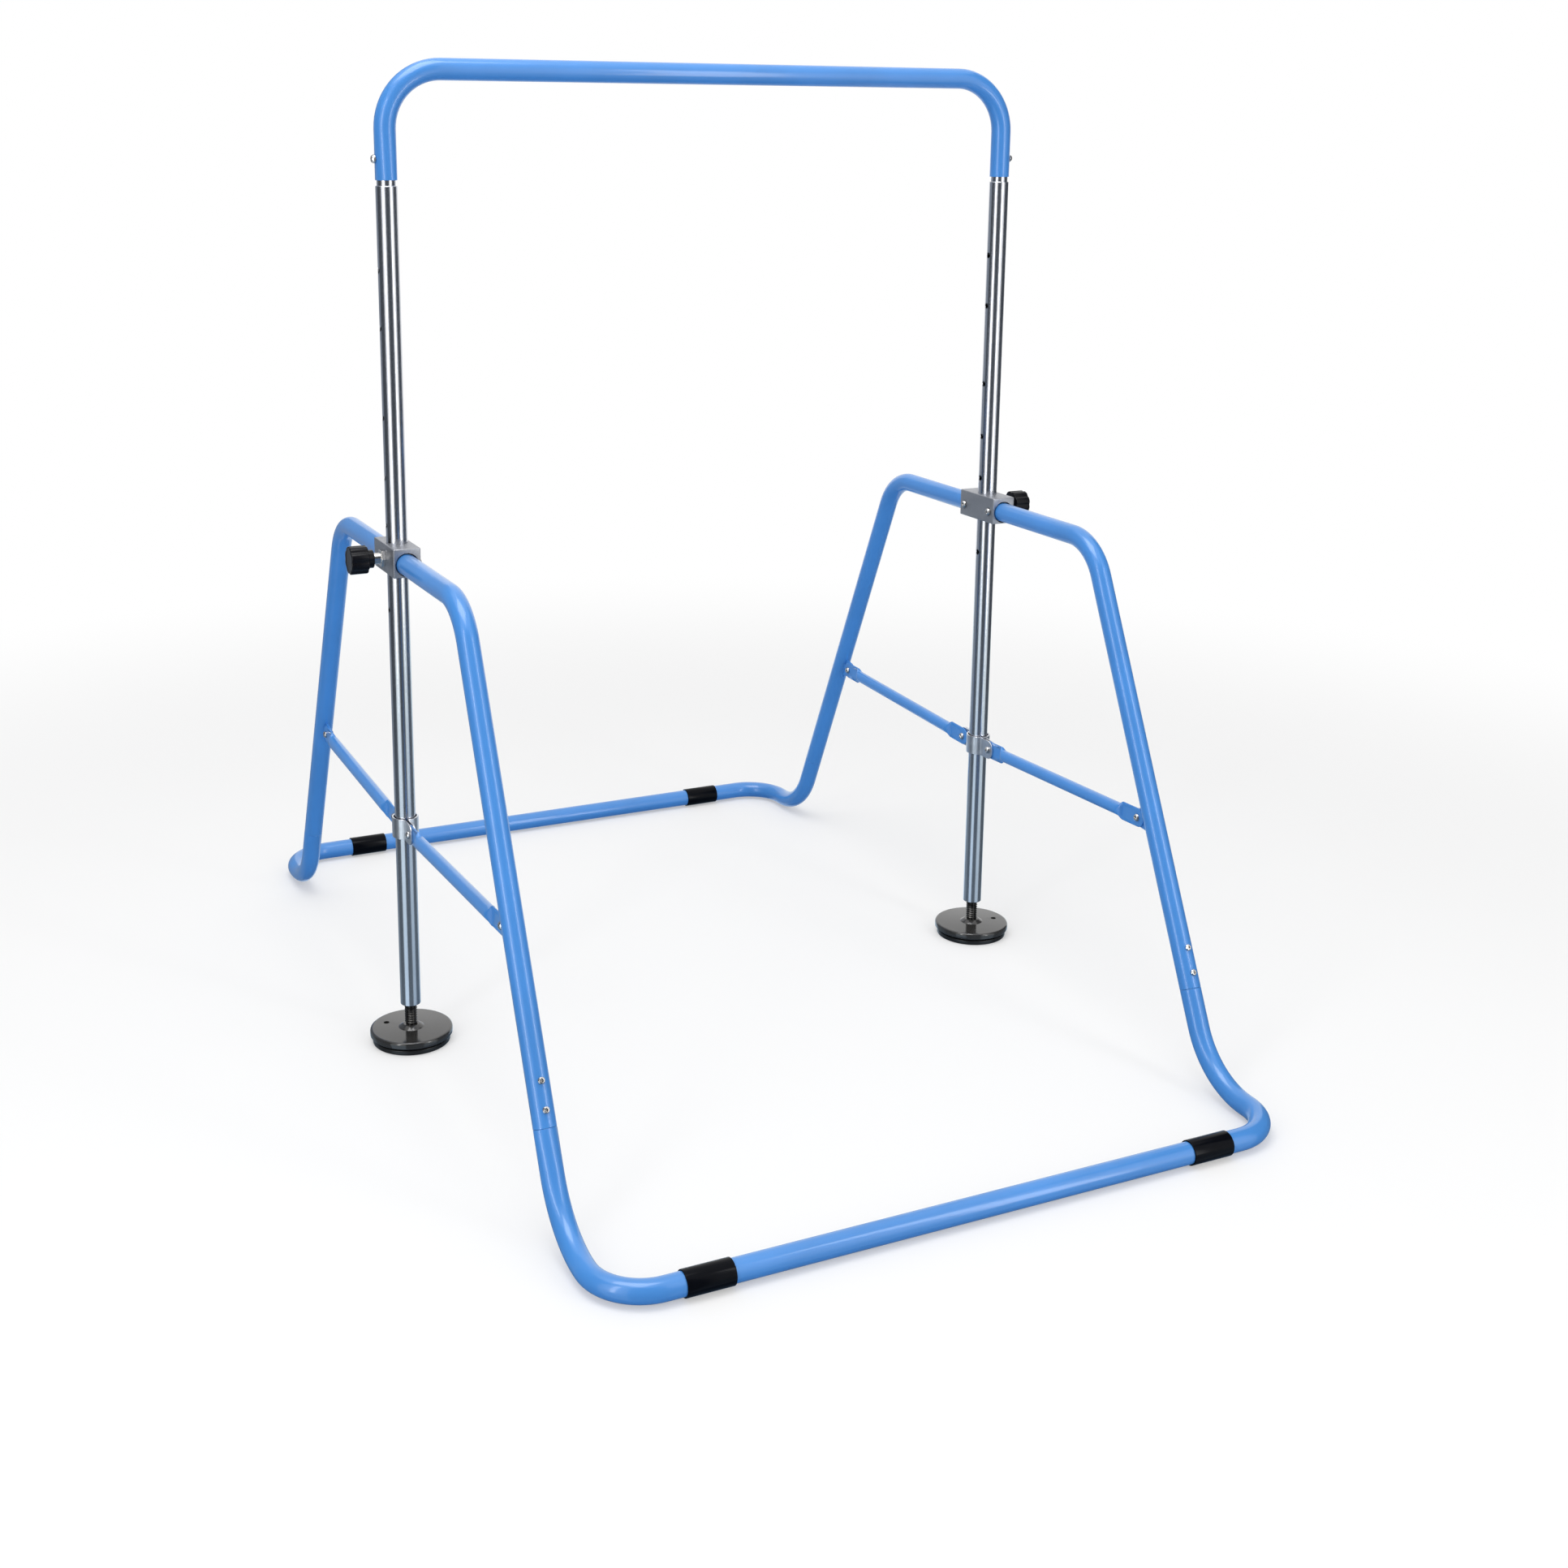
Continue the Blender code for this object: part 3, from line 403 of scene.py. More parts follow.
def round_edges(obj, width, angle=50, segments=2):
    """Rounds an object's sharp edges with a bevel that keeps its flat faces flat."""
    bevel = obj.modifiers.new("Edges", "BEVEL")
    bevel.width = width
    bevel.segments = segments
    bevel.limit_method = "ANGLE"
    bevel.angle_limit = math.radians(angle)
    bevel.harden_normals = True


def rod(start, end, radius, sides=48):
    """Closed cylinder from one point to another."""
    start, end = Vector(start), Vector(end)
    bm = bmesh.new()
    bmesh.ops.create_cone(bm, cap_ends=True, segments=sides, radius1=radius, radius2=radius,
                          depth=(end - start).length, matrix=aim((start + end) / 2, end - start))
    return closed_mesh(bm, "rod")


def remove(objects):
    """Removes objects that were only needed while a piece was made."""
    for obj in objects:
        bpy.data.objects.remove(obj, do_unlink=True)


def machined(name, mesh, cutters, edge, angle):
    """Mesh with cutter meshes cut out of it, then its edges over an angle rounded."""
    work = link(name, mesh)
    tools = [link(f"{name}_cutter", cutter) for cutter in cutters]
    for tool in tools:
        tool.hide_render = True
        cut = work.modifiers.new("Cut", "BOOLEAN")
        cut.operation = "DIFFERENCE"
        cut.solver = "EXACT"
        cut.object = tool
    round_edges(work, edge, angle)
    made = baked(work)
    remove(tools)
    return made


# Geometry Nodes

def add(tree, kind, links, **settings):
    """Node whose inputs are linked to sockets or set to values."""
    made = tree.nodes.new(kind)
    for key, value in settings.items():
        setattr(made, key, value)
    for key, value in links.items():
        if isinstance(value, bpy.types.NodeSocket):
            tree.links.new(value, made.inputs[key])
        else:
            made.inputs[key].default_value = value
    return made


def geometry_tree(name, **inputs):
    """Empty geometry tree with named inputs, and its input node."""
    tree = bpy.data.node_groups.new(name, "GeometryNodeTree")
    tree.interface.new_socket("Geometry", in_out="INPUT", socket_type="NodeSocketGeometry")
    for label, kind in inputs.items():
        tree.interface.new_socket(label.replace("_", " "), in_out="INPUT", socket_type=f"NodeSocket{kind}")
    tree.interface.new_socket("Finish", in_out="INPUT", socket_type="NodeSocketMaterial")
    tree.interface.new_socket("Geometry", in_out="OUTPUT", socket_type="NodeSocketGeometry")
    return tree, tree.nodes.new("NodeGroupInput").outputs


def close_tree(tree, given, geometry):
    """Ends a tree in smooth, real, painted faces."""
    smooth = add(tree, "GeometryNodeSetShadeSmooth", {"Geometry": geometry})
    real = add(tree, "GeometryNodeRealizeInstances", {"Geometry": smooth.outputs["Geometry"]})
    painted = add(tree, "GeometryNodeSetMaterial", {"Geometry": real.outputs["Geometry"],
                                                    "Material": given["Finish"]})
    sink = tree.nodes.new("NodeGroupOutput")
    tree.links.new(painted.outputs["Geometry"], sink.inputs["Geometry"])
    return tree


def swept_tube_tree():
    """Skin of a tube along a path of points, each of which has its own bend_radius."""
    tree, given = geometry_tree("Swept tube", Radius="Float", Sides="Int", Bend_rings="Int")
    path = add(tree, "GeometryNodeMeshToCurve", {"Mesh": given["Geometry"]})
    bend = add(tree, "GeometryNodeInputNamedAttribute", {"Name": "bend_radius"}, data_type="FLOAT")
    rounded = add(tree, "GeometryNodeFilletCurve",
                  {"Curve": path.outputs["Curve"], "Count": given["Bend rings"],
                   "Radius": bend.outputs["Attribute"], "Limit Radius": True}, mode="POLY")
    ring = add(tree, "GeometryNodeCurvePrimitiveCircle",
               {"Resolution": given["Sides"], "Radius": given["Radius"]}, mode="RADIUS")
    skin = add(tree, "GeometryNodeCurveToMesh",
               {"Curve": rounded.outputs["Curve"], "Profile Curve": ring.outputs["Curve"]})
    return close_tree(tree, given, skin.outputs["Mesh"])


def coil_tree():
    """Wire or thread ridge wound round Z, joined to the mesh that it is put on."""
    tree, given = geometry_tree("Coil", Turns="Float", Coil_radius="Float", Height="Float",
                                Wire_radius="Float", Wire_sides="Int", Steps="Int", Start="Vector")
    helix = add(tree, "GeometryNodeCurveSpiral",
                {"Resolution": given["Steps"], "Rotations": given["Turns"],
                 "Start Radius": given["Coil radius"], "End Radius": given["Coil radius"],
                 "Height": given["Height"], "Reverse": False})
    upright = add(tree, "GeometryNodeSetCurveNormal", {"Curve": helix.outputs["Curve"]}, mode="Z_UP")
    ring = add(tree, "GeometryNodeCurvePrimitiveCircle",
               {"Resolution": given["Wire sides"], "Radius": given["Wire radius"]}, mode="RADIUS")
    wire = add(tree, "GeometryNodeCurveToMesh",
               {"Curve": upright.outputs["Curve"], "Profile Curve": ring.outputs["Curve"],
                "Fill Caps": True})
    placed = add(tree, "GeometryNodeTransform",
                 {"Geometry": wire.outputs["Mesh"], "Translation": given["Start"]})
    both = add(tree, "GeometryNodeJoinGeometry", {})
    tree.links.new(given["Geometry"], both.inputs["Geometry"])
    tree.links.new(placed.outputs["Geometry"], both.inputs["Geometry"])
    return close_tree(tree, given, both.outputs["Geometry"])


def fastener_tree():
    """Copies of a blank on points, each along its point's aim and turned at random about it."""
    tree, given = geometry_tree("Fasteners", Blank="Object", Seed="Int")
    toward = add(tree, "GeometryNodeInputNamedAttribute", {"Name": "aim"}, data_type="FLOAT_VECTOR")
    aligned = add(tree, "FunctionNodeAlignRotationToVector", {"Vector": toward.outputs["Attribute"]},
                  axis="Z")
    angle = add(tree, "FunctionNodeRandomValue", {"Seed": given["Seed"]}, data_type="FLOAT")
    angle.inputs[3].default_value = 2 * math.pi
    spun = add(tree, "FunctionNodeAxisAngleToRotation",
               {"Axis": (0, 0, 1), "Angle": angle.outputs[1]})
    turned_in = add(tree, "FunctionNodeRotateRotation",
                    {"Rotation": aligned.outputs["Rotation"], "Rotate By": spun.outputs["Rotation"]},
                    rotation_space="LOCAL")
    blank = add(tree, "GeometryNodeObjectInfo", {"Object": given["Blank"]}, transform_space="ORIGINAL")
    copies = add(tree, "GeometryNodeInstanceOnPoints",
                 {"Points": given["Geometry"], "Instance": blank.outputs["Geometry"],
                  "Rotation": turned_in.outputs["Rotation"]})
    return close_tree(tree, given, copies.outputs["Instances"])


def run_tree(obj, tree, slot, **values):
    """Puts a tree on an object, with its inputs set by their identifiers."""
    modifier = obj.modifiers.new(tree.name, "NODES")
    modifier.node_group = tree
    values["Finish"] = finish_of(slot)
    for item in tree.interface.items_tree:
        if item.item_type == "SOCKET" and item.in_out == "INPUT" and item.name.replace(" ", "_") in values:
            modifier[item.identifier] = values[item.name.replace(" ", "_")]


def true_runs(mesh, shortest=0.02):
    """Gives the long faces of a tube's straight runs normals square to the run."""
    normals = [Vector(corner.vector) for corner in mesh.corner_normals]
    for polygon in mesh.polygons:
        places = [mesh.vertices[index].co for index in polygon.vertices]
        run = max((end - start for start, end in zip(places, places[1:] + places[:1])),
                  key=lambda edge: edge.length)
        if run.length > shortest:
            run = run.normalized()
            for index in polygon.loop_indices:
                normals[index] = (normals[index] - run * normals[index].dot(run)).normalized()
    mesh.normals_split_custom_set(normals)
    return mesh


def swept_tube(at, name, corners, bends, slot, radius=None, wall=None):
    """Mesh of a bent tube with a wall and rounded lips, along corners with their bend radii."""
    path = bpy.data.meshes.new(name)
    path.from_pydata([tuple(corner) for corner in corners],
                     [(index, index + 1) for index in range(len(corners) - 1)], [])
    bend = path.attributes.new("bend_radius", "FLOAT", "POINT")
    bend.data.foreach_set("value", [0, *bends, 0])
    guide = link(name, path)
    run_tree(guide, bpy.data.node_groups["Swept tube"], slot, Radius=radius or at.tube.radius,
             Sides=at.tube.sides, Bend_rings=at.tube.bend_rings)
    solid = guide.modifiers.new("Wall", "SOLIDIFY")
    solid.thickness = wall or at.tube.wall
    solid.offset = -1
    round_edges(guide, at.tube.lip, segments=3)
    return true_runs(smoothed(baked(guide)))


def coil(name, core, slot, **values):
    """Mesh of a wire or thread ridge wound round a core."""
    host = link(name, core)
    run_tree(host, bpy.data.node_groups["Coil"], slot, **values)
    return baked(host)


def fasteners(blank, places, slot, seed):
    """Mesh of one blank at many (point, direction) places."""
    points = bpy.data.meshes.new("fastener_points")
    points.from_pydata([tuple(point) for point, _ in places], [], [])
    toward = points.attributes.new("aim", "FLOAT_VECTOR", "POINT")
    toward.data.foreach_set("vector", [value for _, direction in places for value in direction])
    holder, host = link("blank", blank), link("fasteners", points)
    run_tree(host, bpy.data.node_groups["Fasteners"], slot, Blank=holder, Seed=seed)
    mesh = baked(host)
    remove([holder])
    return smoothed(mesh)


# Finishes

def finish_tree(name):
    """Material with only its shader, output and Object coordinates."""
    made = bpy.data.materials.new(f"{name}_finish")
    made.use_nodes = True
    tree = made.node_tree
    shader = tree.nodes["Principled BSDF"]
    coords = tree.nodes.new("ShaderNodeTexCoord").outputs["Object"]
    return made, tree, shader, coords


def noise(tree, coords, scale, detail, stretch=(1, 1, 1)):
    """Noise over Object coordinates, stretched along axes."""
    mapped = add(tree, "ShaderNodeMapping", {"Vector": coords, "Scale": stretch})
    return add(tree, "ShaderNodeTexNoise", {"Vector": mapped.outputs["Vector"], "Scale": scale,
                                            "Detail": detail, "Roughness": 0.55}).outputs["Fac"]


def varied(tree, value, low, high):
    """Number that follows a noise between two limits."""
    return add(tree, "ShaderNodeMapRange", {"Value": value, "From Min": 0.3, "From Max": 0.7,
                                            "To Min": low, "To Max": high}).outputs["Result"]


def tinted(tree, value, base, spread):
    """Colour that follows a noise from a darker to a lighter shade of a base."""
    ramp = add(tree, "ShaderNodeMix", {0: value}, data_type="RGBA")
    ramp.inputs[6].default_value = (*[max(part * (1 - spread), 0) for part in base], 1)
    ramp.inputs[7].default_value = (*[min(part * (1 + spread), 1) for part in base], 1)
    return ramp.outputs[2]


def relief(tree, shader, heights):
    """Chain of bumps from (height, distance, strength) layers."""
    normal = None
    for height, distance, strength in heights:
        bump = add(tree, "ShaderNodeBump", {"Height": height, "Distance": distance, "Strength": strength})
        if normal:
            tree.links.new(normal, bump.inputs["Normal"])
        normal = bump.outputs["Normal"]
    tree.links.new(normal, shader.inputs["Normal"])


def make_finish(name, base, noises, tint, gloss, bumps, sockets):
    """Makes a finish from noises, each given by name with its scale, detail and stretch.

    tint is the noise and spread of the base colour, gloss the noise, least and most of the roughness,
    bumps are (noise, distance, strength) layers, and sockets hold the shader's even values.
    """
    _, tree, shader, coords = finish_tree(name)
    made = {key: noise(tree, coords, *given) for key, given in noises.items()}
    cloud, spread = tint
    tree.links.new(tinted(tree, varied(tree, made[cloud], 0, 1), base, spread), shader.inputs["Base Color"])
    dulling, least, most = gloss
    tree.links.new(varied(tree, made[dulling], least, most), shader.inputs["Roughness"])
    for key, value in sockets.items():
        shader.inputs[key].default_value = value
    relief(tree, shader, [(made[key], distance, strength) for key, distance, strength in bumps])


def powder_coat(base):
    """Blue powder coat: orange peel, slight clouding and a soft gloss."""
    make_finish("blue_powder_coat", base, {"cloud": (9, 3), "peel": (620, 1), "speck": (2600, 1)},
                ("cloud", 0.05), ("peel", 0.32, 0.40),
                [("peel", 0.00003, 0.35), ("speck", 0.000004, 0.35)],
                {"Coat Weight": 0.7, "Coat Roughness": 0.1})


def chrome(base):
    """Plated post: bright, with fine rings left by grinding and faint clouding."""
    make_finish("chromed_steel", base,
                {"rings": (1, 3, (60, 60, 2200)), "drawn": (1, 2, (900, 900, 3)), "cloud": (14, 2)},
                ("cloud", 0.04), ("rings", 0.17, 0.22),
                [("rings", 0.00001, 0.12), ("drawn", 0.00002, 0.07)], {"Metallic": 1})


def steel(name, base, roughness):
    """Steel of the small hardware, lightly scuffed."""
    make_finish(name, base, {"scuff": (700, 3), "cloud": (60, 2)}, ("cloud", 0.12),
                ("scuff", roughness * 0.8, roughness * 1.2), [("scuff", 0.00002, 0.2)], {"Metallic": 1})


def cast_aluminium(base):
    """Block casting: blasted grain over a satin metal."""
    make_finish("cast_aluminium", base, {"grain": (900, 3), "cloud": (45, 3)}, ("grain", 0.24),
                ("cloud", 0.38, 0.52), [("grain", 0.00006, 0.5), ("cloud", 0.0001, 0.15)],
                {"Metallic": 0.85})


def moulded(name, base, roughness, coat, specular, grain_depth):
    """Moulded black finish with a fine grain."""
    make_finish(name, base, {"grain": (1300, 2), "cloud": (30, 3)}, ("cloud", 0.15),
                ("cloud", roughness * 0.85, roughness * 1.15),
                [("grain", grain_depth, 0.4), ("cloud", 0.0001, 0.1)],
                {"Specular IOR Level": specular, "Coat Weight": coat, "Coat Roughness": 0.08})


def black_steel(base):
    """Blackened steel of the foot spindles, with an oily sheen."""
    make_finish("blackened_steel", base, {"cloud": (160, 3)}, ("cloud", 0.3), ("cloud", 0.2, 0.3),
                [("cloud", 0.00005, 0.3)], {"Metallic": 0.9})


# Operators

class HBAR_OT_finishes(bpy.types.Operator):
    """Makes the finishes and the node trees that the other operators use"""
    bl_idname = "hbar.finishes"
    bl_label = "Finishes"

    def execute(self, context):
        finishes = context.scene.bar_finishes
        powder_coat(finishes.blue)
        chrome(finishes.chrome)
        steel("stainless_steel", finishes.steel, 0.36)
        steel("bright_steel", finishes.bright_steel, 0.17)
        cast_aluminium(finishes.aluminium)
        moulded("black_plastic", finishes.knob, 0.22, 0, 0.2, 0.00001)
        moulded("black_foot_plastic", finishes.foot, 0.16, 0.5, 0.5, 0.000005)
        moulded("black_rubber", finishes.rubber, 0.16, 0, 0.08, 0.00001)
        moulded("pad_rubber", finishes.pad, 0.3, 0, 0.4, 0.00001)
        black_steel(finishes.black_steel)
        swept_tube_tree()
        coil_tree()
        fastener_tree()
        return {"FINISHED"}


class HBAR_OT_crossbar(bpy.types.Operator):
    """Bends the crossbar from one tube"""
    bl_idname = "hbar.crossbar"
    bl_label = "Crossbar"

    def execute(self, context):
        at = Layout(context.scene)
        tube = at.tube
        left, right = at.post["left"], at.post["right"]
        corners = [(left, 0, tube.bar_end), (left, 0, tube.bar_height), (right, 0, tube.bar_height),
                   (right, 0, tube.bar_end)]
        mesh = swept_tube(at, "crossbar_tube", corners, [tube.bar_bend] * 2, "blue_powder_coat")
        show("crossbar_tube", mesh, "blue_powder_coat", "crossbar")
        return {"FINISHED"}


def true_round(mesh, centre_x, radius):
    """Gives the outer wall of a drilled upright tube the normals of a true cylinder."""
    normals = [Vector(corner.vector) for corner in mesh.corner_normals]
    for polygon in mesh.polygons:
        out = Vector((polygon.center.x - centre_x, polygon.center.y, 0))
        if out.length > radius * 0.99 and polygon.normal.dot(out.normalized()) > 0.97:
            for index in polygon.loop_indices:
                place = mesh.vertices[mesh.loops[index].vertex_index].co
                normals[index] = Vector((place.x - centre_x, place.y, 0)).normalized()
    mesh.normals_split_custom_set(normals)
    return mesh


class HBAR_OT_posts(bpy.types.Operator):
    """Turns the posts with their narrow necks and drills their cross holes"""
    bl_idname = "hbar.posts"
    bl_label = "Posts"
    # Heights of the holes from the plungers' axis, and distance of the rings beside each hole.
    hole_rises = (-0.0805, 0, 0.0495, 0.1215, 0.2115, 0.3435, 0.4275)
    ring_gap = 0.011
    insert_length = 0.025
    drill_reach = 0.03

    def execute(self, context):
        at = Layout(context.scene)
        tube = at.tube
        bore_r, neck_bore = tube.radius - tube.wall, tube.neck_radius - tube.wall
        shoulder, neck_top = tube.bar_end - tube.neck_gap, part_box("left_post")[1].z
        insert_top, insert_r = tube.post_bottom + self.insert_length, at.foot.spindle_radius + FIT
        holes = [at.pin_z + rise for rise in self.hole_rises]
        # Rings above and below each hole keep its cut off the long plain faces.
        rings = sorted(height + shift for height in holes for shift in (-self.ring_gap, self.ring_gap))
        corners = [(neck_bore, neck_top, 0.0005), (tube.neck_radius, neck_top, 0.0008),
                   (tube.neck_radius, shoulder, 0.0004), (tube.radius - 0.0006, shoulder, 0.0002),
                   (tube.radius, shoulder - 0.0008, 0.0003),
                   *[(tube.radius, height, 0) for height in reversed(rings)],
                   (tube.radius, tube.post_bottom, 0.0012), (insert_r, tube.post_bottom, 0.0012),
                   (insert_r, insert_top, 0), (bore_r, insert_top, 0), (bore_r, shoulder - 0.006, 0),
                   (neck_bore, shoulder - 0.003, 0)]
        for side_name, _ in SIDES:
            x = at.post[side_name]
            mesh = turned("post", corners, 64, closed=True)
            mesh.transform(Matrix.Translation((x, 0, 0)))
            drills = [rod((x - self.drill_reach, 0, height), (x + self.drill_reach, 0, height),
                          tube.hole_radius) for height in holes]
            mesh = smoothed(machined("post", mesh, drills, 0.0005, 60))
            show(f"{side_name}_post_tube", true_round(mesh, x, tube.radius), "chromed_steel",
                 f"{side_name}_post")
        return {"FINISHED"}


def hexagon(radius, angle, core):
    """Radius of a hexagon outside a round core, with corners at the given radius."""
    if radius < core:
        return radius
    from_flat = (angle % (math.pi / 3)) - math.pi / 6
    return radius * math.cos(math.pi / 6) / math.cos(from_flat)


def weld_nut(fitting, bore, place):
    """Mesh of a weld nut with a bore radius, from its place along +X."""
    to_corner, height, round_core = fitting.nut_flats * 0.577, 0.005, 0.004
    nut = turned("nut", [(bore, 0, 0), (to_corner, 0, 0), (to_corner, height, 0.0008), (bore, height, 0)],
                 48, closed=True, outline=lambda radius, angle, _: hexagon(radius, angle, round_core))
    nut.transform(aim(place, (1, 0, 0)))
    return nut


def ear_and_nut(at, x, end, steps=18):
    """Meshes of a leg's brace ear, the weld beads at its root and its weld nut."""
    fitting, tube = at.fitting, at.tube
    bolt = Vector((x, end * at.leg_bolt_y, fitting.leg_bolt))
    # The root reaches into the leg's wall, and the free end is a half round about the bolt.
    root = tube.radius * 0.9 / math.cos(at.lean)
    outline = [(x, end * (at.leg_y(z) - root), z)
               for z in (bolt.z - fitting.ear_root, bolt.z + fitting.ear_root)]
    for step in range(steps + 1):
        angle = math.pi / 2 + step * math.pi / steps
        outline.append((x, bolt.y + end * fitting.ear_radius * math.cos(angle),
                        bolt.z + fitting.ear_radius * math.sin(angle)))
    ear = link("ear", closed_mesh(extruded(outline, fitting.ear_thickness, (1, 0, 0)), "ear"))
    round_edges(ear, 0.0005)
    meshes = [baked(ear)]
    along, out = at.down_leg(end), -at.off_leg(end)
    on_leg = Vector((x, end * at.leg_y(bolt.z), bolt.z)) + out * (tube.radius * 0.985)
    for across in (-1, 1):
        start = on_leg + Vector((across * (fitting.ear_thickness / 2 + FIT), 0, 0))
        reach = along * fitting.ear_root * 1.02
        meshes.append(swept_tube(at, "bead", [start - reach, start + reach], [], "blue_powder_coat",
                                 radius=0.0016, wall=0.0008))
    face = at.brace_shift + at.grip + fitting.ear_thickness
    return [*meshes, weld_nut(fitting, 0.0032, bolt + Vector((face, 0, 0)))]


class HBAR_OT_legs(bpy.types.Operator):
    """Bends the four legs and welds the brace ears and nuts to them"""
    bl_idname = "hbar.legs"
    bl_label = "Legs"

    def execute(self, context):
        at = Layout(context.scene)
        tube = at.tube
        # The legs start in their bores, clear of the post.
        start_y = tube.radius + 0.007
        for side_name, _ in SIDES:
            x = at.post[side_name]
            for end_name, end in ENDS:
                joint = Vector((x, end * at.leg_y(tube.joint_height), tube.joint_height))
                corners = [(x, end * start_y, tube.top_run), (x, end * tube.top_corner, tube.top_run),
                           joint - at.down_leg(end) * FIT]
                leg = swept_tube(at, "leg", corners, [tube.top_bend], "blue_powder_coat")
                name = f"{side_name}_{end_name}_leg"
                show(f"{name}_tube", joined(name, [leg, *ear_and_nut(at, x, end)]), "blue_powder_coat",
                     name)
        return {"FINISHED"}


class HBAR_OT_floor_tubes(bpy.types.Operator):
    """Bends the two floor tubes"""
    bl_idname = "hbar.floor_tubes"
    bl_label = "Floor Tubes"

    def execute(self, context):
        at = Layout(context.scene)
        tube = at.tube
        left, right = at.post["left"], at.post["right"]
        joint_y = at.leg_y(tube.joint_height)
        for end_name, end in ENDS:
            corners = [(left, end * joint_y, tube.joint_height), (left, end * tube.floor_corner, at.base_z),
                       (left, end * tube.base_reach, at.base_z), (right, end * tube.base_reach, at.base_z),
                       (right, end * tube.floor_corner, at.base_z), (right, end * joint_y, tube.joint_height)]
            bends = [tube.floor_bend, tube.base_bend, tube.base_bend, tube.floor_bend]
            mesh = swept_tube(at, "floor_tube", corners, bends, "blue_powder_coat")
            show(f"{end_name}_floor_tube", mesh, "blue_powder_coat", f"{end_name}_base_tube")
        return {"FINISHED"}


class HBAR_OT_sleeves(bpy.types.Operator):
    """Turns the rubber sleeves on the floor tubes"""
    bl_idname = "hbar.sleeves"
    bl_label = "Sleeves"

    def execute(self, context):
        at = Layout(context.scene)
        half, outer, inner = at.fitting.sleeve_length / 2, at.fitting.sleeve_radius, at.tube.radius + FIT
        corners = [(inner, half, 0.0004), (outer, half, 0.0009), (outer, -half, 0.0009),
                   (inner, -half, 0.0004)]
        for end_name, _ in ENDS:
            for side_name, _ in SIDES:
                node = f"{end_name}_{side_name}_sleeve"
                mesh = turned("sleeve", corners, 64, closed=True)
                mesh.transform(aim(middle(node), (1, 0, 0)))
                show(f"{node}_rubber", mesh, "black_rubber", node)
        return {"FINISHED"}


class HBAR_OT_blocks(bpy.types.Operator):
    """Casts the two blocks and bores them for the post, the legs and the plunger"""
    bl_idname = "hbar.blocks"
    bl_label = "Blocks"

    def cutters(self, at, side_name, side):
        """Meshes of the bores for the post, plunger and legs and of the seats round the screws."""
        tube, fitting = at.tube, at.fitting
        x, bore_r = at.post[side_name], tube.radius + FIT
        high, up, out = Vector((x, 0, at.pin_z)), Vector((0, 0, 0.05)), Vector((side * 0.05, 0, 0))
        made = [rod(high - up, high + up, bore_r, 64), rod(high, high + out, 0.008, 48)]
        # Each leg's bore starts beside the post's, and has a wider mouth.
        bore_from, mouth_from, clear = 0.0225, fitting.block[1] / 2 - fitting.bore_mouth, 0.08
        for _, end in ENDS:
            made += [rod((x, end * start, tube.top_run), (x, end * clear, tube.top_run), radius, 64)
                     for start, radius in ((bore_from, bore_r), (mouth_from, bore_r + 0.0018))]
        seat_r, seat_depth = fitting.screw_seat
        face = x - side * fitting.block[0] / 2
        for end_name, _ in ENDS:
            y = middle(f"{side_name}_{end_name}_block_screw").y
            made.append(rod((face + side * seat_depth, y, tube.top_run),
                            (face - side * 0.01, y, tube.top_run), seat_r, 32))
        return made

    def execute(self, context):
        at = Layout(context.scene)
        for side_name, side in SIDES:
            bm = bmesh.new()
            bmesh.ops.create_cube(bm, size=1, matrix=Matrix.Translation((at.post[side_name], 0, at.pin_z))
                                  @ Matrix.Diagonal((*at.fitting.block, 1)))
            bmesh.ops.bevel(bm, geom=bm.edges[:], offset=at.fitting.block_edge, segments=4, profile=0.5,
                            affect="EDGES")
            mesh = machined("block", closed_mesh(bm, "block"), self.cutters(at, side_name, side), 0.0005, 60)
            show(f"{side_name}_block_casting", mesh, "cast_aluminium", f"{side_name}_block")
        return {"FINISHED"}


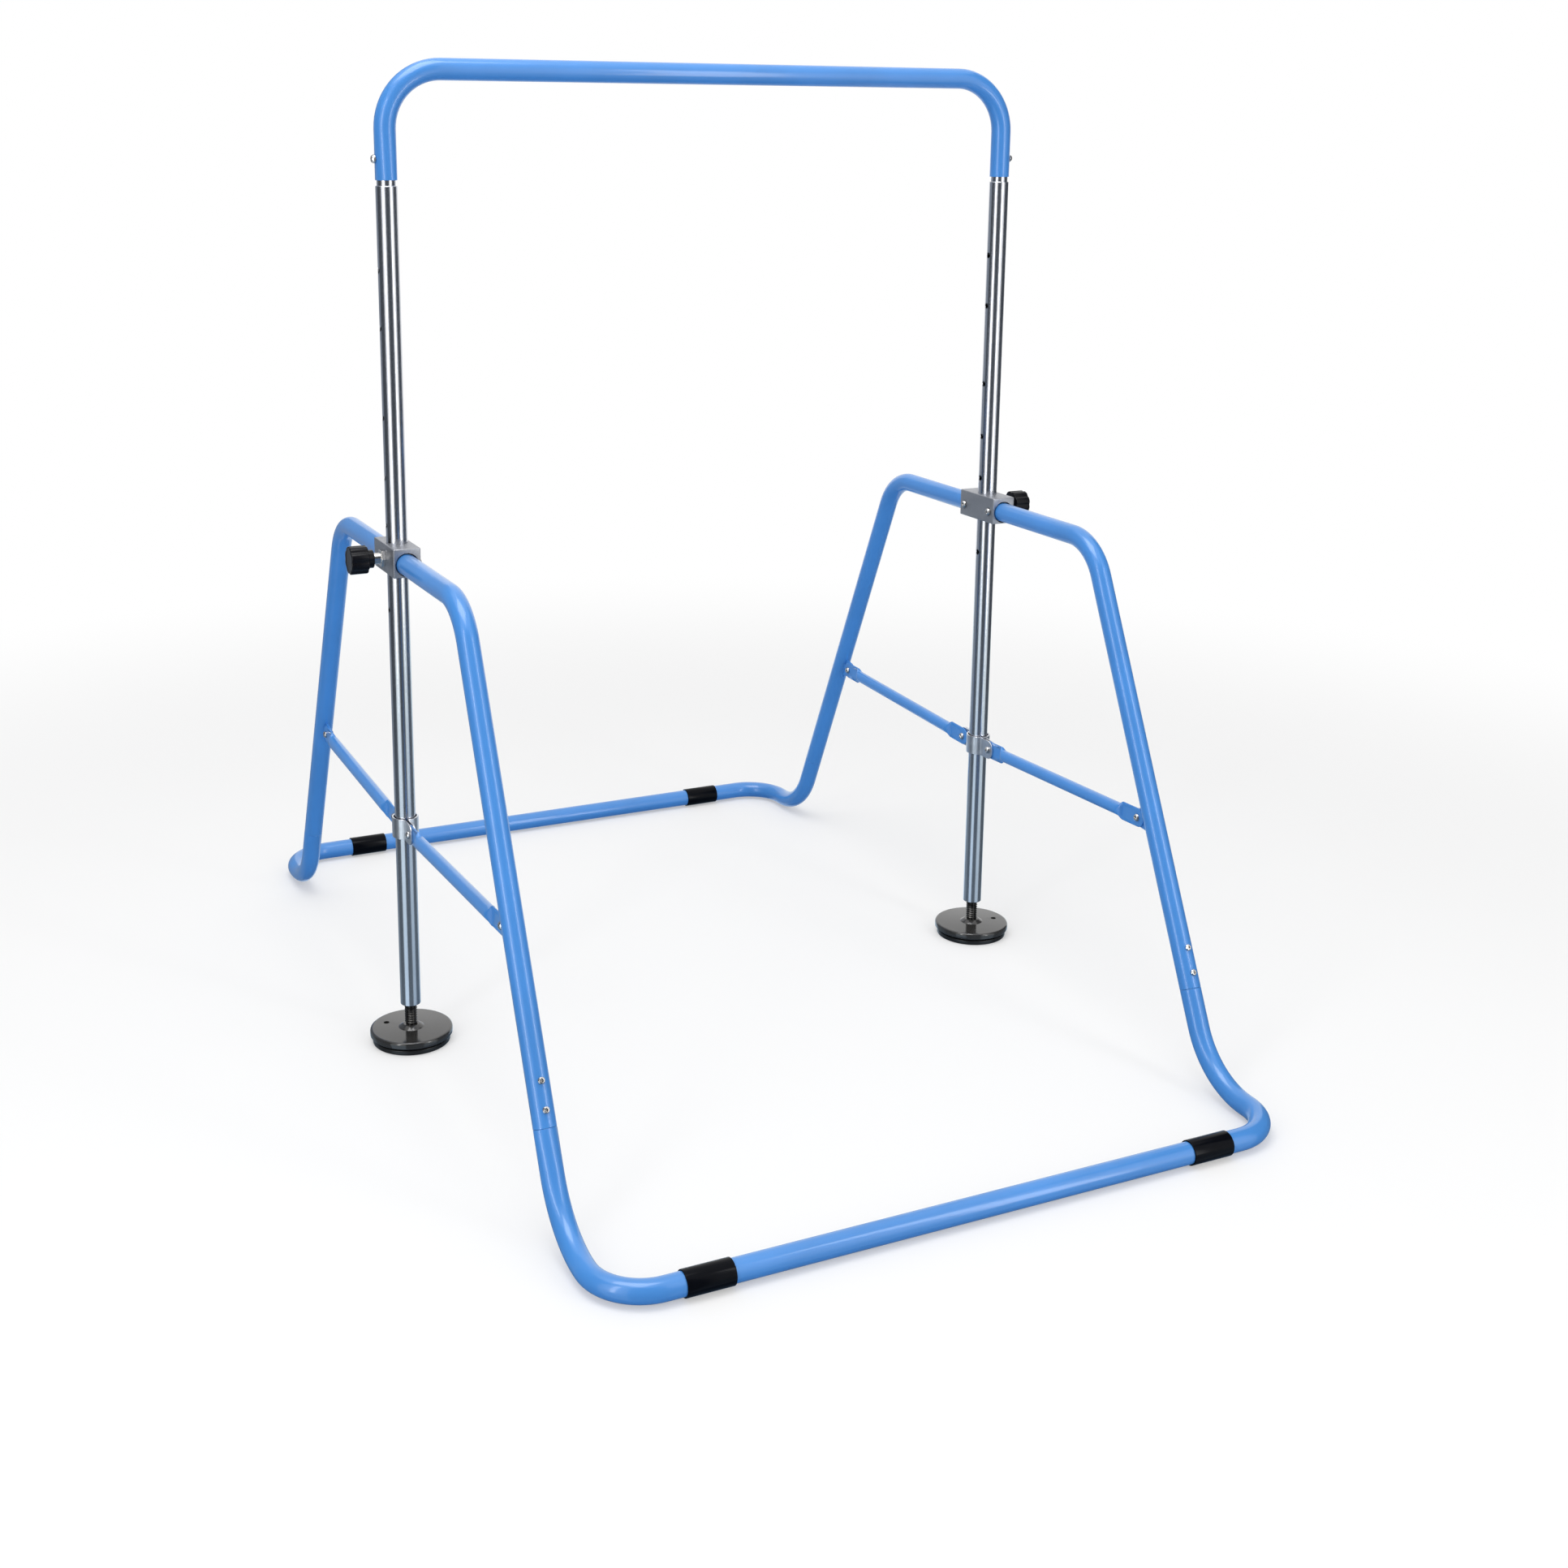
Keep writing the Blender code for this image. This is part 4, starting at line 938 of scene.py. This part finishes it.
class HBAR_OT_fasteners(bpy.types.Operator):
    """Puts the socket screws and bolts in their places, each kind as one piece"""
    bl_idname = "hbar.fasteners"
    bl_label = "Fasteners"
    leg_screw_rises = (("lower", 0.0232), ("upper", 0.0612))
    shanks = {"bar_screws": 0.006, "frame_block_screws": 0.005, "frame_leg_screws": 0.0051,
              "frame_bolts": 0.011}

    def blank(self, size, shank):
        """Button head with a hexagon socket and a round shank below it."""
        radius, height = size
        socket, floor, shank_r = radius * 0.46, height - 0.0019, 0.003
        corners = [(0, floor, 0), (socket, floor, 0), (socket, height, 0.0001),
                   (radius * 0.72, height * 0.97, 0.0008), (radius * 0.97, height * 0.42, 0.0006),
                   (radius, 0, 0.0002), (shank_r, 0, 0), (shank_r, -shank, 0.0003), (0, -shank, 0)]

        def outline(at_radius, angle, z):
            return hexagon(at_radius, angle, 0) if z > 0 and at_radius < socket + 0.0001 else at_radius

        return turned("fastener", corners, 48, outline=outline)

    def places(self, at, kind):
        """Node, seat and direction of each fastener of a kind."""
        tube, fitting = at.tube, at.fitting
        bolt_x = at.brace_shift - at.grip
        made = []
        for side_name, side in SIDES:
            x = at.post[side_name]
            if kind == "bar_screws":
                node = f"{side_name}_crossbar_screw"
                made.append((node, (x + side * (tube.radius + FIT), 0, middle(node).z), (side, 0, 0)))
                continue
            for end_name, end in ENDS:
                at_end = f"{side_name}_{end_name}"
                if kind == "frame_block_screws":
                    node = f"{at_end}_block_screw"
                    seat = (x - side * (fitting.block[0] / 2 + FIT), middle(node).y, tube.top_run)
                    made.append((node, seat, (-side, 0, 0)))
                elif kind == "frame_leg_screws":
                    joint = Vector((x, end * at.leg_y(tube.joint_height), tube.joint_height))
                    out = at.off_leg(end)
                    made += [(f"{at_end}_leg_screw_{place}",
                              joint - at.down_leg(end) * rise + out * (tube.radius + FIT), out)
                             for place, rise in self.leg_screw_rises]
                else:
                    # In front the collar bolt's head lies on the -X ear, at the rear on the brace.
                    seat_x = x + bolt_x - (fitting.collar_wall + FIT if end < 0 else 0)
                    made += [(f"{at_end}_brace_bolt",
                              (x + bolt_x, end * at.leg_bolt_y, fitting.leg_bolt), (-1, 0, 0)),
                             (f"{at_end}_collar_bolt", (seat_x, end * fitting.collar_bolt, at.collar_z),
                              (-1, 0, 0))]
        return made

    def execute(self, context):
        at = Layout(context.scene)
        fitting = at.fitting
        heads = {"bar_screws": fitting.bar_head, "frame_leg_screws": fitting.screw_head}
        for seed, (kind, shank) in enumerate(self.shanks.items()):
            blank = self.blank(heads.get(kind, fitting.bolt_head), shank)
            placed = self.places(at, kind)
            mesh = fasteners(blank, [(seat, way) for _, seat, way in placed], "stainless_steel", seed)
            show(kind, mesh, "stainless_steel", *[node for node, _, _ in placed], finish="bright_steel")
        return {"FINISHED"}


class HBAR_OT_braces(bpy.types.Operator):
    """Presses the ends of the four braces flat"""
    bl_idname = "hbar.braces"
    bl_label = "Braces"
    ring_steps = 48
    # Exponents of the flattened and the round section's outline.
    flat_square, round_square = 5, 2

    def stations(self, fitting, run):
        """Places along a brace with its half width, half thickness and squareness."""
        wide, thin, radius = fitting.flat_width, fitting.flat_thickness / 2, fitting.brace_radius
        square, less_square = self.flat_square, self.flat_square - self.round_square
        made = []
        tip_steps, ramp_steps = 8, 10
        for step in range(tip_steps + 1):
            angle = math.pi / 2 * (1 - step / tip_steps)
            slim = thin * (0.55 if step == 0 else 1)
            made.append((-fitting.flat_reach * math.sin(angle), max(wide * math.cos(angle), wide * 0.05),
                         slim, square))
        made.append((fitting.flat_length, wide, thin, square))
        for step in range(1, ramp_steps + 1):
            t = step / ramp_steps
            swell, narrow = t * (2 - t), min(t / 0.55, 1)
            narrow *= narrow * (3 - 2 * narrow)
            made.append((fitting.flat_length + fitting.flat_ramp * t, wide + (radius - wide) * narrow,
                         thin + (radius - thin) * swell, square - less_square * swell))
        return made + [(run - y, *rest) for y, *rest in reversed(made)]

    def body(self, fitting, run):
        """Mesh of a brace along +Y between its bolts."""
        bm = bmesh.new()
        rings = []
        for y, wide, thick, square in self.stations(fitting, run):
            ring = []
            for step in range(self.ring_steps):
                angle = 2 * math.pi * step / self.ring_steps
                cosine, sine = math.cos(angle), math.sin(angle)
                ring.append(bm.verts.new((thick * math.copysign(abs(cosine) ** (2 / square), cosine), y,
                                          wide * math.copysign(abs(sine) ** (2 / square), sine))))
            rings.append(ring)
        for first, second in zip(rings, rings[1:]):
            for index in range(self.ring_steps):
                bm.faces.new((first[index], first[index - 1], second[index - 1], second[index]))
        bm.faces.new(rings[0])
        bm.faces.new(reversed(rings[-1]))
        return closed_mesh(bm, "brace", 50)

    def execute(self, context):
        at = Layout(context.scene)
        fitting = at.fitting
        across, rise = at.leg_bolt_y - fitting.collar_bolt, fitting.leg_bolt - at.collar_z
        run, tilt = math.hypot(across, rise), math.atan2(rise, across)
        for side_name, _ in SIDES:
            for end_name, end in ENDS:
                mesh = self.body(fitting, run)
                turn = Matrix.Rotation(tilt, 4, "X")
                if end < 0:
                    turn = Matrix.Rotation(math.pi, 4, "Z") @ turn
                start = (at.post[side_name] + at.brace_shift, end * fitting.collar_bolt, at.collar_z)
                mesh.transform(Matrix.Translation(start) @ turn)
                name = f"{side_name}_{end_name}_brace"
                show(f"{name}_tube", mesh, "blue_powder_coat", name)
        return {"FINISHED"}


class HBAR_OT_collars(bpy.types.Operator):
    """Bends the collar halves round the posts and welds nuts to one of each pair"""
    bl_idname = "hbar.collars"
    bl_label = "Collars"
    # Angles of the pressed strip and of the slope beside it, and faces along the strip and the band.
    strip_turn, step_turn = math.radians(24), math.radians(1.2)
    strip_steps, band_steps = 6, 28
    tip_rounding = 0.0145

    def half(self, at, face):
        """Collar half on the +X or -X side of its post, with a pressed strip beside each ear."""
        fitting = at.fitting
        corners = []
        for depth, flip, rise in ((0, 1, 0), (fitting.collar_wall, -1, fitting.collar_strip)):
            radius = at.tube.radius + fitting.collar_gap + depth
            first, last = [at.clamp(face, end * flip) + face * depth for end in (1, -1)]
            start = math.acos(face * first / (radius + rise))
            stop = -math.acos(face * last / (radius + rise))
            begin = start - self.strip_turn - self.step_turn
            finish = stop + self.strip_turn + self.step_turn
            shares = [step / self.strip_steps for step in range(self.strip_steps + 1)]
            arcs = [(start - self.strip_turn * part, radius + rise) for part in shares]
            arcs += [(begin + (finish - begin) * step / self.band_steps, radius)
                     for step in range(self.band_steps + 1)]
            arcs += [(stop + self.strip_turn * (1 - part), radius + rise) for part in shares]
            corners.append((first, flip * fitting.collar_tip, 0))
            corners += [(face * reach * math.cos(angle), flip * reach * math.sin(angle), 0)
                        for angle, reach in arcs]
            corners.append((last, -flip * fitting.collar_tip, 0))
        bm = extruded(corners, fitting.collar_height, (0, 0, 1))
        tips = [edge for edge in bm.edges
                if all(abs(abs(vert.co.y) - fitting.collar_tip) < FIT for vert in edge.verts)
                and abs(edge.verts[0].co.x - edge.verts[1].co.x) > FIT]
        bmesh.ops.bevel(bm, geom=tips, offset=self.tip_rounding, segments=8, profile=0.5, affect="EDGES")
        return closed_mesh(bm, "collar")

    def execute(self, context):
        at = Layout(context.scene)
        fitting = at.fitting
        for side_name, side in SIDES:
            for half_name, face in (("outer", side), ("inner", -side)):
                shell = link("collar", self.half(at, face))
                round_edges(shell, 0.0004)
                meshes = [baked(shell)]
                if face > 0:
                    meshes += [weld_nut(fitting, 0.0031, (at.clamp(face, end) + fitting.collar_wall,
                                                          end * fitting.collar_bolt, 0))
                               for _, end in ENDS]
                mesh = joined("collar", meshes)
                mesh.transform(Matrix.Translation((at.post[side_name], 0, at.collar_z)))
                name = f"{side_name}_collar_{half_name}"
                show(f"{name}_band", mesh, "stainless_steel", name)
        return {"FINISHED"}


class HBAR_OT_plungers(bpy.types.Operator):
    """Turns the plunger bodies and pins and winds their springs"""
    bl_idname = "hbar.plungers"
    bl_label = "Plungers"
    flange_height, cap = 0.006, 0.002
    nose_radius, chamber_radius = 0.0077, 0.0065
    # Places along the pin, outward from the post's axis, and the radius of its ring.
    pin_tip, pin_full, ring_from, ring_to, shaft_end = 0.0166, 0.0184, 0.03, 0.033, 0.066
    ring_radius = 0.0062
    spring_radius, spring_wire, spring_turns = 0.0047, 0.0005, 5.0
    spring_from, spring_gap = 0.0338, 0.0028

    def execute(self, context):
        at = Layout(context.scene)
        plunger = at.plunger
        seat, nose, end = at.fitting.block[0] / 2 + FIT, at.tube.radius + 2 * FIT, plunger.barrel_end
        flange, flange_top = plunger.flange_flats / math.sqrt(3), seat + self.flange_height
        pin_r, shaft = plunger.pin_radius, plunger.shaft_radius
        chamber, inside = self.chamber_radius, end - self.cap
        body = [(pin_r + FIT, seat, 0), (pin_r + FIT, nose, 0), (self.nose_radius, nose, 0.0004),
                (self.nose_radius, seat, 0), (flange, seat, 0.0005), (flange, flange_top, 0.0011),
                (plunger.barrel_radius, flange_top, 0.0004), (plunger.barrel_radius, end, 0.0009),
                (shaft + FIT, end, 0), (shaft + FIT, inside, 0), (chamber, inside, 0), (chamber, seat, 0)]
        pin = [(0, self.pin_tip, 0), (pin_r * 0.72, self.pin_tip, 0.0006), (pin_r, self.pin_full, 0.0008),
               (pin_r, self.ring_from, 0), (self.ring_radius, self.ring_from, 0.0003),
               (self.ring_radius, self.ring_to, 0.0003), (shaft, self.ring_to, 0),
               (shaft, self.shaft_end, 0.0004), (0, self.shaft_end, 0)]
        round_core = plunger.barrel_radius + 0.001
        for side_name, side in SIDES:
            meshes = (turned("body", body, 72, closed=True,
                             outline=lambda radius, angle, _: hexagon(radius, angle, round_core)),
                      turned("pin", pin, 40),
                      coil("spring", bpy.data.meshes.new("spring"), "stainless_steel",
                           Turns=self.spring_turns, Coil_radius=self.spring_radius,
                           Height=end - self.spring_gap - self.spring_from, Wire_radius=self.spring_wire,
                           Wire_sides=10, Steps=24, Start=(0, 0, self.spring_from)))
            for mesh, name, node, finish in zip(meshes, ("barrel", "plug", "coil"), ("body", "pin", "spring"),
                                                ("bright_steel", None, None)):
                mesh.transform(at.outward(side_name, side))
                show(f"{side_name}_plunger_{name}", mesh, "stainless_steel", f"{side_name}_plunger_{node}",
                     finish=finish)
        return {"FINISHED"}


class HBAR_OT_knobs(bpy.types.Operator):
    """Moulds the lobed knobs"""
    bl_idname = "hbar.knobs"
    bl_label = "Knobs"
    # Bore over the barrel, hole for the shaft, and sunk round end.
    bore_radius, bore_end, hole_end = 0.0092, 0.0563, 0.0663
    dish_width, dish_slope, dish_depth = 0.0045, 0.0007, 0.0005

    def execute(self, context):
        at = Layout(context.scene)
        plunger = at.plunger
        hole, bore = plunger.shaft_radius + FIT, self.bore_radius
        neck, rim, end = plunger.knob_neck, plunger.knob_radius, plunger.knob_end
        corners = [(0, self.hole_end, 0), (hole, self.hole_end, 0), (hole, self.bore_end, 0),
                   (bore, self.bore_end, 0.0005), (bore, plunger.knob_from, 0.0004),
                   (neck, plunger.knob_from, 0.0008), (neck, plunger.knob_shoulder, 0.001),
                   (rim, plunger.knob_shoulder, 0.0022), (rim, end, 0.0022), (rim - self.dish_width, end, 0),
                   (rim - self.dish_width - self.dish_slope, end - self.dish_depth, 0.0003),
                   (0, end - self.dish_depth, 0)]

        def outline(radius, angle, height):
            if radius < neck + 0.001 or height < plunger.knob_shoulder - 0.0002:
                return radius
            swell = (1 + math.cos(plunger.lobes * angle)) / 2
            near_rim = min((radius - neck) / (rim - neck), 1)
            return radius - plunger.knob_flute * swell ** 2.2 * near_rim

        for side_name, side in SIDES:
            mesh = turned("knob", corners, 128, outline=outline)
            mesh.transform(at.outward(side_name, side))
            show(f"{side_name}_lobed_knob", mesh, "black_plastic", f"{side_name}_knob")
        return {"FINISHED"}


class HBAR_OT_feet(bpy.types.Operator):
    """Makes the rubber pads, the discs with their holes and the threaded spindles"""
    bl_idname = "hbar.feet"
    bl_label = "Screw Feet"
    seat_radius = 0.056
    boss_bore, spigot_radius = 0.0088, 0.0085
    # Hole through a disc: its radius, distance from the spindle and angle from +X.
    hole_radius, hole_reach, hole_turn = 0.0045, 0.043, {"left": 140, "right": -10}
    root_depth, ridge_radius = 0.0018, 0.0019
    thread_over_boss, thread_below_top = 0.0022, 0.002

    def profiles(self, foot, boss):
        """Outlines of the pad, the disc and the spindle without its thread."""
        under, top, bore_r, dome = foot.disc_from, foot.disc_top, self.boss_bore, foot.dome_radius
        pad = [(0, under - FIT, 0), (self.seat_radius, under - FIT, 0.0002),
               (self.seat_radius, foot.pad_height, 0.0006), (foot.pad_radius, foot.pad_height, 0.0012),
               (foot.pad_radius, 0, 0.0008), (0, 0, 0)]
        disc = [(bore_r, boss, 0.0004), (dome * 0.66, boss, 0.003), (dome * 0.97, top + 0.0012, 0.0012),
                (dome * 1.05, top, 0.0015), (foot.disc_radius, top, foot.disc_round),
                (foot.disc_radius, under, 0.0012), (bore_r, under, 0)]
        root, spigot = foot.spindle_radius - self.root_depth, self.spigot_radius
        core = [(0, foot.spindle_top, 0), (root, foot.spindle_top, 0.0008), (root, boss + FIT, 0),
                (spigot, boss + FIT, 0), (spigot, under, 0.0004), (0, under, 0)]
        return pad, disc, core

    def execute(self, context):
        at = Layout(context.scene)
        foot, ridge = at.foot, self.ridge_radius
        boss = foot.disc_top + foot.dome_height
        pad, disc, core = self.profiles(foot, boss)
        low, high = boss + self.thread_over_boss, foot.spindle_top - self.thread_below_top
        for side_name, _ in SIDES:
            to_post = Matrix.Translation((at.post[side_name], 0, 0))
            mesh = turned("pad", pad, 96)
            mesh.transform(to_post)
            show(f"{side_name}_foot_rubber", mesh, "black_rubber", f"{side_name}_foot_pad",
                 finish="pad_rubber")
            angle = math.radians(self.hole_turn[side_name])
            hole = Vector((at.post[side_name] + self.hole_reach * math.cos(angle),
                           self.hole_reach * math.sin(angle), 0))
            plate = turned("disc", disc, 96, closed=True)
            plate.transform(to_post)
            drill = rod(hole, hole + Vector((0, 0, 0.05)), self.hole_radius, 40)
            show(f"{side_name}_foot_plate", machined("disc", plate, [drill], 0.0004, 70),
                 "black_foot_plastic", f"{side_name}_foot_disc")
            mesh = coil("spindle", turned("spindle", core, 48), "blackened_steel",
                        Turns=(high - low) / foot.pitch, Coil_radius=foot.spindle_radius - ridge,
                        Height=high - low, Wire_radius=ridge, Wire_sides=4, Steps=36, Start=(0, 0, low))
            mesh.transform(to_post)
            show(f"{side_name}_foot_thread", smoothed(mesh, 30), "stainless_steel",
                 f"{side_name}_foot_spindle", finish="blackened_steel")
        return {"FINISHED"}


class HBAR_OT_stage(bpy.types.Operator):
    """Sets up the pale floor, the lamps, the background and the camera"""
    bl_idname = "hbar.stage"
    bl_label = "Stage"
    # Name, span in degrees from the camera's side, shade, shade near the floor, distance and top.
    cards = (("middle_flag", (-15, 34), 0.08, 0.16, 3.3, 4.5),
             ("left_flag", (-100, -52), 0.08, 0.16, 3.3, 4.5),
             ("far_left_flag", (-150, -100), 0.3, 0.3, 3.3, 4.5),
             ("right_flag", (75, 135), 0.08, 0.16, 3.3, 4.5),
             ("low_ring_left", (-180, 20), 1, 0.86, 3.35, -0.1),
             ("low_ring_right", (20, 180), 1, 0.6, 3.35, -0.1))
    # Height of their lower edges, degrees in each of their faces, and heights between which they turn
    # to the shade near the floor.
    card_bottom, card_turn = -3, 6
    low_from, low_full = -0.1, -1.2
    # Place, target and size of the lamp overhead, then those of the tall lamps beside the object.
    overhead = ((-0.8, -0.55, 4.4), (0, 0, 0.6), (2.5, 2.5))
    side_turns = (("left_lamp", -32), ("right_lamp", 50))
    side_distance, side_height, side_target, side_size = 3.1, 1.4, (0, 0, 0.9), (0.4, 3)
    floor_size, floor_z = 30, -0.0005
    # The floor turns white from the near to the far distance, starting from a part of the way.
    fade_near, fade_far, fade_start = 1.4, 3.2, 0.38
    ground_card_radius, ground_card_z, ground_card_colour = 1.6, -0.9, (0.1, 0.16, 0.24, 1)

    def floor(self, stage):
        """Large white floor that keeps soft shadows and fades into the background."""
        bm = bmesh.new()
        bmesh.ops.create_grid(bm, x_segments=2, y_segments=2, size=self.floor_size)
        ground = link("floor", closed_mesh(bm, "floor"))
        ground.data.transform(Matrix.Translation((0, 0, self.floor_z)))
        ground.visible_glossy = False
        made, tree, shader, coords = finish_tree("pale_floor")
        seen = tree.nodes.new("ShaderNodeLightPath").outputs["Is Camera Ray"]
        tone = add(tree, "ShaderNodeMix", {0: seen}, data_type="RGBA")
        tone.inputs[6].default_value = (*stage.bounce, 1)
        tone.inputs[7].default_value = (*stage.floor, 1)
        tree.links.new(tone.outputs[2], shader.inputs["Base Color"])
        shader.inputs["Roughness"].default_value = 0.7
        shader.inputs["Specular IOR Level"].default_value = 0.2
        far = add(tree, "ShaderNodeVectorMath", {0: coords}, operation="LENGTH")
        fade = add(tree, "ShaderNodeMapRange",
                   {"Value": far.outputs["Value"], "From Min": self.fade_near, "From Max": self.fade_far,
                    "To Min": self.fade_start}, interpolation_type="SMOOTHSTEP")
        white = add(tree, "ShaderNodeMath", {0: fade.outputs["Result"], 1: seen}, operation="MULTIPLY")
        glow = add(tree, "ShaderNodeEmission", {"Color": (1, 1, 1, 1), "Strength": 1})
        mixed = add(tree, "ShaderNodeMixShader", {0: white.outputs["Value"], 1: shader.outputs["BSDF"],
                                                  2: glow.outputs["Emission"]})
        tree.links.new(mixed.outputs["Shader"], tree.nodes["Material Output"].inputs["Surface"])
        ground.data.materials.append(made)

    def background(self, stage):
        """White to the eye and in reflections, and an even light elsewhere."""
        world = bpy.data.worlds.new("studio")
        bpy.context.scene.world = world
        world.use_nodes = True
        tree = world.node_tree
        tree.nodes.clear()
        path = tree.nodes.new("ShaderNodeLightPath").outputs
        seen = path["Is Camera Ray"]
        for other in ("Is Glossy Ray", "Is Transmission Ray"):
            seen = add(tree, "ShaderNodeMath", {0: seen, 1: path[other]}, operation="MAXIMUM").outputs[0]
        lit = add(tree, "ShaderNodeBackground", {"Color": (1, 1, 1, 1), "Strength": stage.fill})
        plain = add(tree, "ShaderNodeBackground", {"Color": (1, 1, 1, 1), "Strength": 1})
        mixed = add(tree, "ShaderNodeMixShader", {0: seen, 1: lit.outputs[0], 2: plain.outputs[0]})
        sink = tree.nodes.new("ShaderNodeOutputWorld")
        tree.links.new(mixed.outputs["Shader"], sink.inputs["Surface"])

    def lamp(self, name, place, target, size, power):
        """Soft rectangular lamp that faces a point and isn't seen itself."""
        data = bpy.data.lights.new(name, "AREA")
        data.shape = "RECTANGLE"
        data.size, data.size_y = size
        data.energy = power
        made = link(name, data)
        made.visible_camera = False
        made.location = place
        made.rotation_euler = (Vector(place) - Vector(target)).to_track_quat("Z", "Y").to_euler()

    def round_from_camera(self, stage, azimuth, distance, height):
        """Place at an angle from the camera's side, to the right in the picture, about the origin."""
        back = Vector((stage.camera_place[0], stage.camera_place[1], 0)).normalized()
        return Matrix.Rotation(math.radians(azimuth), 3, "Z") @ back * distance + Vector((0, 0, height))

    def card(self, name, bm, shades):
        """Studio card that only reflections see; shades gives its colour from its tree and coordinates."""
        card = link(name, closed_mesh(bm, name))
        card.visible_camera = card.visible_diffuse = card.visible_shadow = card.visible_transmission = False
        made, tree, _, coords = finish_tree(name)
        glow = add(tree, "ShaderNodeEmission", {"Color": shades(tree, coords), "Strength": 1})
        tree.links.new(glow.outputs["Emission"], tree.nodes["Material Output"].inputs["Surface"])
        card.data.materials.append(made)

    def flag(self, stage, name, span, shade, low_shade, distance, top):
        """Tall curved card with another shade near the floor."""
        bm = bmesh.new()
        steps = max(int((span[1] - span[0]) / self.card_turn), 2)
        angles = [span[0] + (span[1] - span[0]) * step / steps for step in range(steps + 1)]
        low, high = [[bm.verts.new(self.round_from_camera(stage, angle, distance, height))
                      for angle in angles] for height in (self.card_bottom, top)]
        for here in range(steps):
            bm.faces.new((low[here], low[here + 1], high[here + 1], high[here]))

        def shades(tree, coords):
            height = add(tree, "ShaderNodeSeparateXYZ", {"Vector": coords}).outputs["Z"]
            lowness = add(tree, "ShaderNodeMapRange", {"Value": height, "From Min": self.low_from,
                                                       "From Max": self.low_full})
            tone = add(tree, "ShaderNodeMix", {0: lowness.outputs["Result"]}, data_type="RGBA")
            tone.inputs[6].default_value = (shade * 0.9, shade, min(shade * 1.15, 1), 1)
            tone.inputs[7].default_value = (low_shade * 0.8, low_shade, low_shade * 1.2, 1)
            return tone.outputs[2]

        self.card(name, bm, shades)

    def ground_card(self):
        """Dark card under the object."""
        bm = bmesh.new()
        bmesh.ops.create_circle(bm, cap_ends=True, segments=48, radius=self.ground_card_radius,
                                matrix=Matrix.Translation((0, 0, self.ground_card_z)))
        self.card("ground_card", bm, lambda tree, coords: self.ground_card_colour)

    def camera(self, stage):
        """Camera at the photograph's place and angle."""
        data = bpy.data.cameras.new("camera")
        data.lens, data.sensor_width = stage.lens, 36
        data.shift_x, data.shift_y = stage.shift
        data.clip_start, data.clip_end = 0.05, 100
        made = link("camera", data)
        yaw, pitch, roll = stage.camera_turn
        forward = Vector((-math.sin(yaw) * math.cos(pitch), math.cos(yaw) * math.cos(pitch),
                          math.sin(pitch)))
        right = Vector((math.cos(yaw), math.sin(yaw), 0))
        up = right.cross(forward)
        across = math.cos(roll) * right + math.sin(roll) * up
        upward = math.cos(roll) * up - math.sin(roll) * right
        made.matrix_world = Matrix.Translation(stage.camera_place) @ Matrix(
            (across, upward, -forward)).transposed().to_4x4()
        bpy.context.scene.camera = made

    def execute(self, context):
        stage = context.scene.bar_stage
        context.scene.view_settings.view_transform = "Standard"
        self.floor(stage)
        self.background(stage)
        self.lamp("overhead_lamp", *self.overhead, stage.key)
        for name, turn in self.side_turns:
            place = self.round_from_camera(stage, turn, self.side_distance, self.side_height)
            self.lamp(name, place, self.side_target, self.side_size, stage.side)
        for values in self.cards:
            self.flag(stage, *values)
        self.ground_card()
        self.camera(stage)
        return {"FINISHED"}


class HBAR_PT_panel(bpy.types.Panel):
    """Lists the pieces and their settings"""
    bl_label = "Horizontal Bar"
    bl_idname = "HBAR_PT_panel"
    bl_space_type = "VIEW_3D"
    bl_region_type = "UI"
    bl_category = "Horizontal Bar"

    def draw(self, context):
        layout = self.layout
        for operator in OPERATORS:
            layout.operator(operator.bl_idname)
        for name, group in GROUPS.items():
            box = layout.box()
            box.label(text=group.__doc__)
            for key in group.__annotations__:
                box.prop(getattr(context.scene, name), key)


GROUPS = {"bar_tubes": TubeSizes, "bar_fittings": FittingSizes, "bar_plungers": PlungerSizes,
          "bar_feet": FootSizes, "bar_finishes": Finishes, "bar_stage": StageSettings}
OPERATORS = (HBAR_OT_finishes, HBAR_OT_crossbar, HBAR_OT_posts, HBAR_OT_legs, HBAR_OT_floor_tubes,
             HBAR_OT_sleeves, HBAR_OT_blocks, HBAR_OT_fasteners, HBAR_OT_braces, HBAR_OT_collars,
             HBAR_OT_plungers, HBAR_OT_knobs, HBAR_OT_feet, HBAR_OT_stage)


def register():
    """Registers the groups, operators and panel."""
    for group in GROUPS.values():
        bpy.utils.register_class(group)
    for name, group in GROUPS.items():
        setattr(bpy.types.Scene, name, PointerProperty(type=group))
    for kind in (*OPERATORS, HBAR_PT_panel):
        bpy.utils.register_class(kind)


def unregister():
    """Takes the panel, operators and groups away again."""
    for kind in reversed((*OPERATORS, HBAR_PT_panel)):
        bpy.utils.unregister_class(kind)
    for name, group in reversed(GROUPS.items()):
        delattr(bpy.types.Scene, name)
        bpy.utils.unregister_class(group)


def main():
    """Makes every piece and the stage."""
    register()
    for operator in OPERATORS:
        group, name = operator.bl_idname.split(".")
        getattr(getattr(bpy.ops, group), name)()


if __name__ == "__main__":
    main()
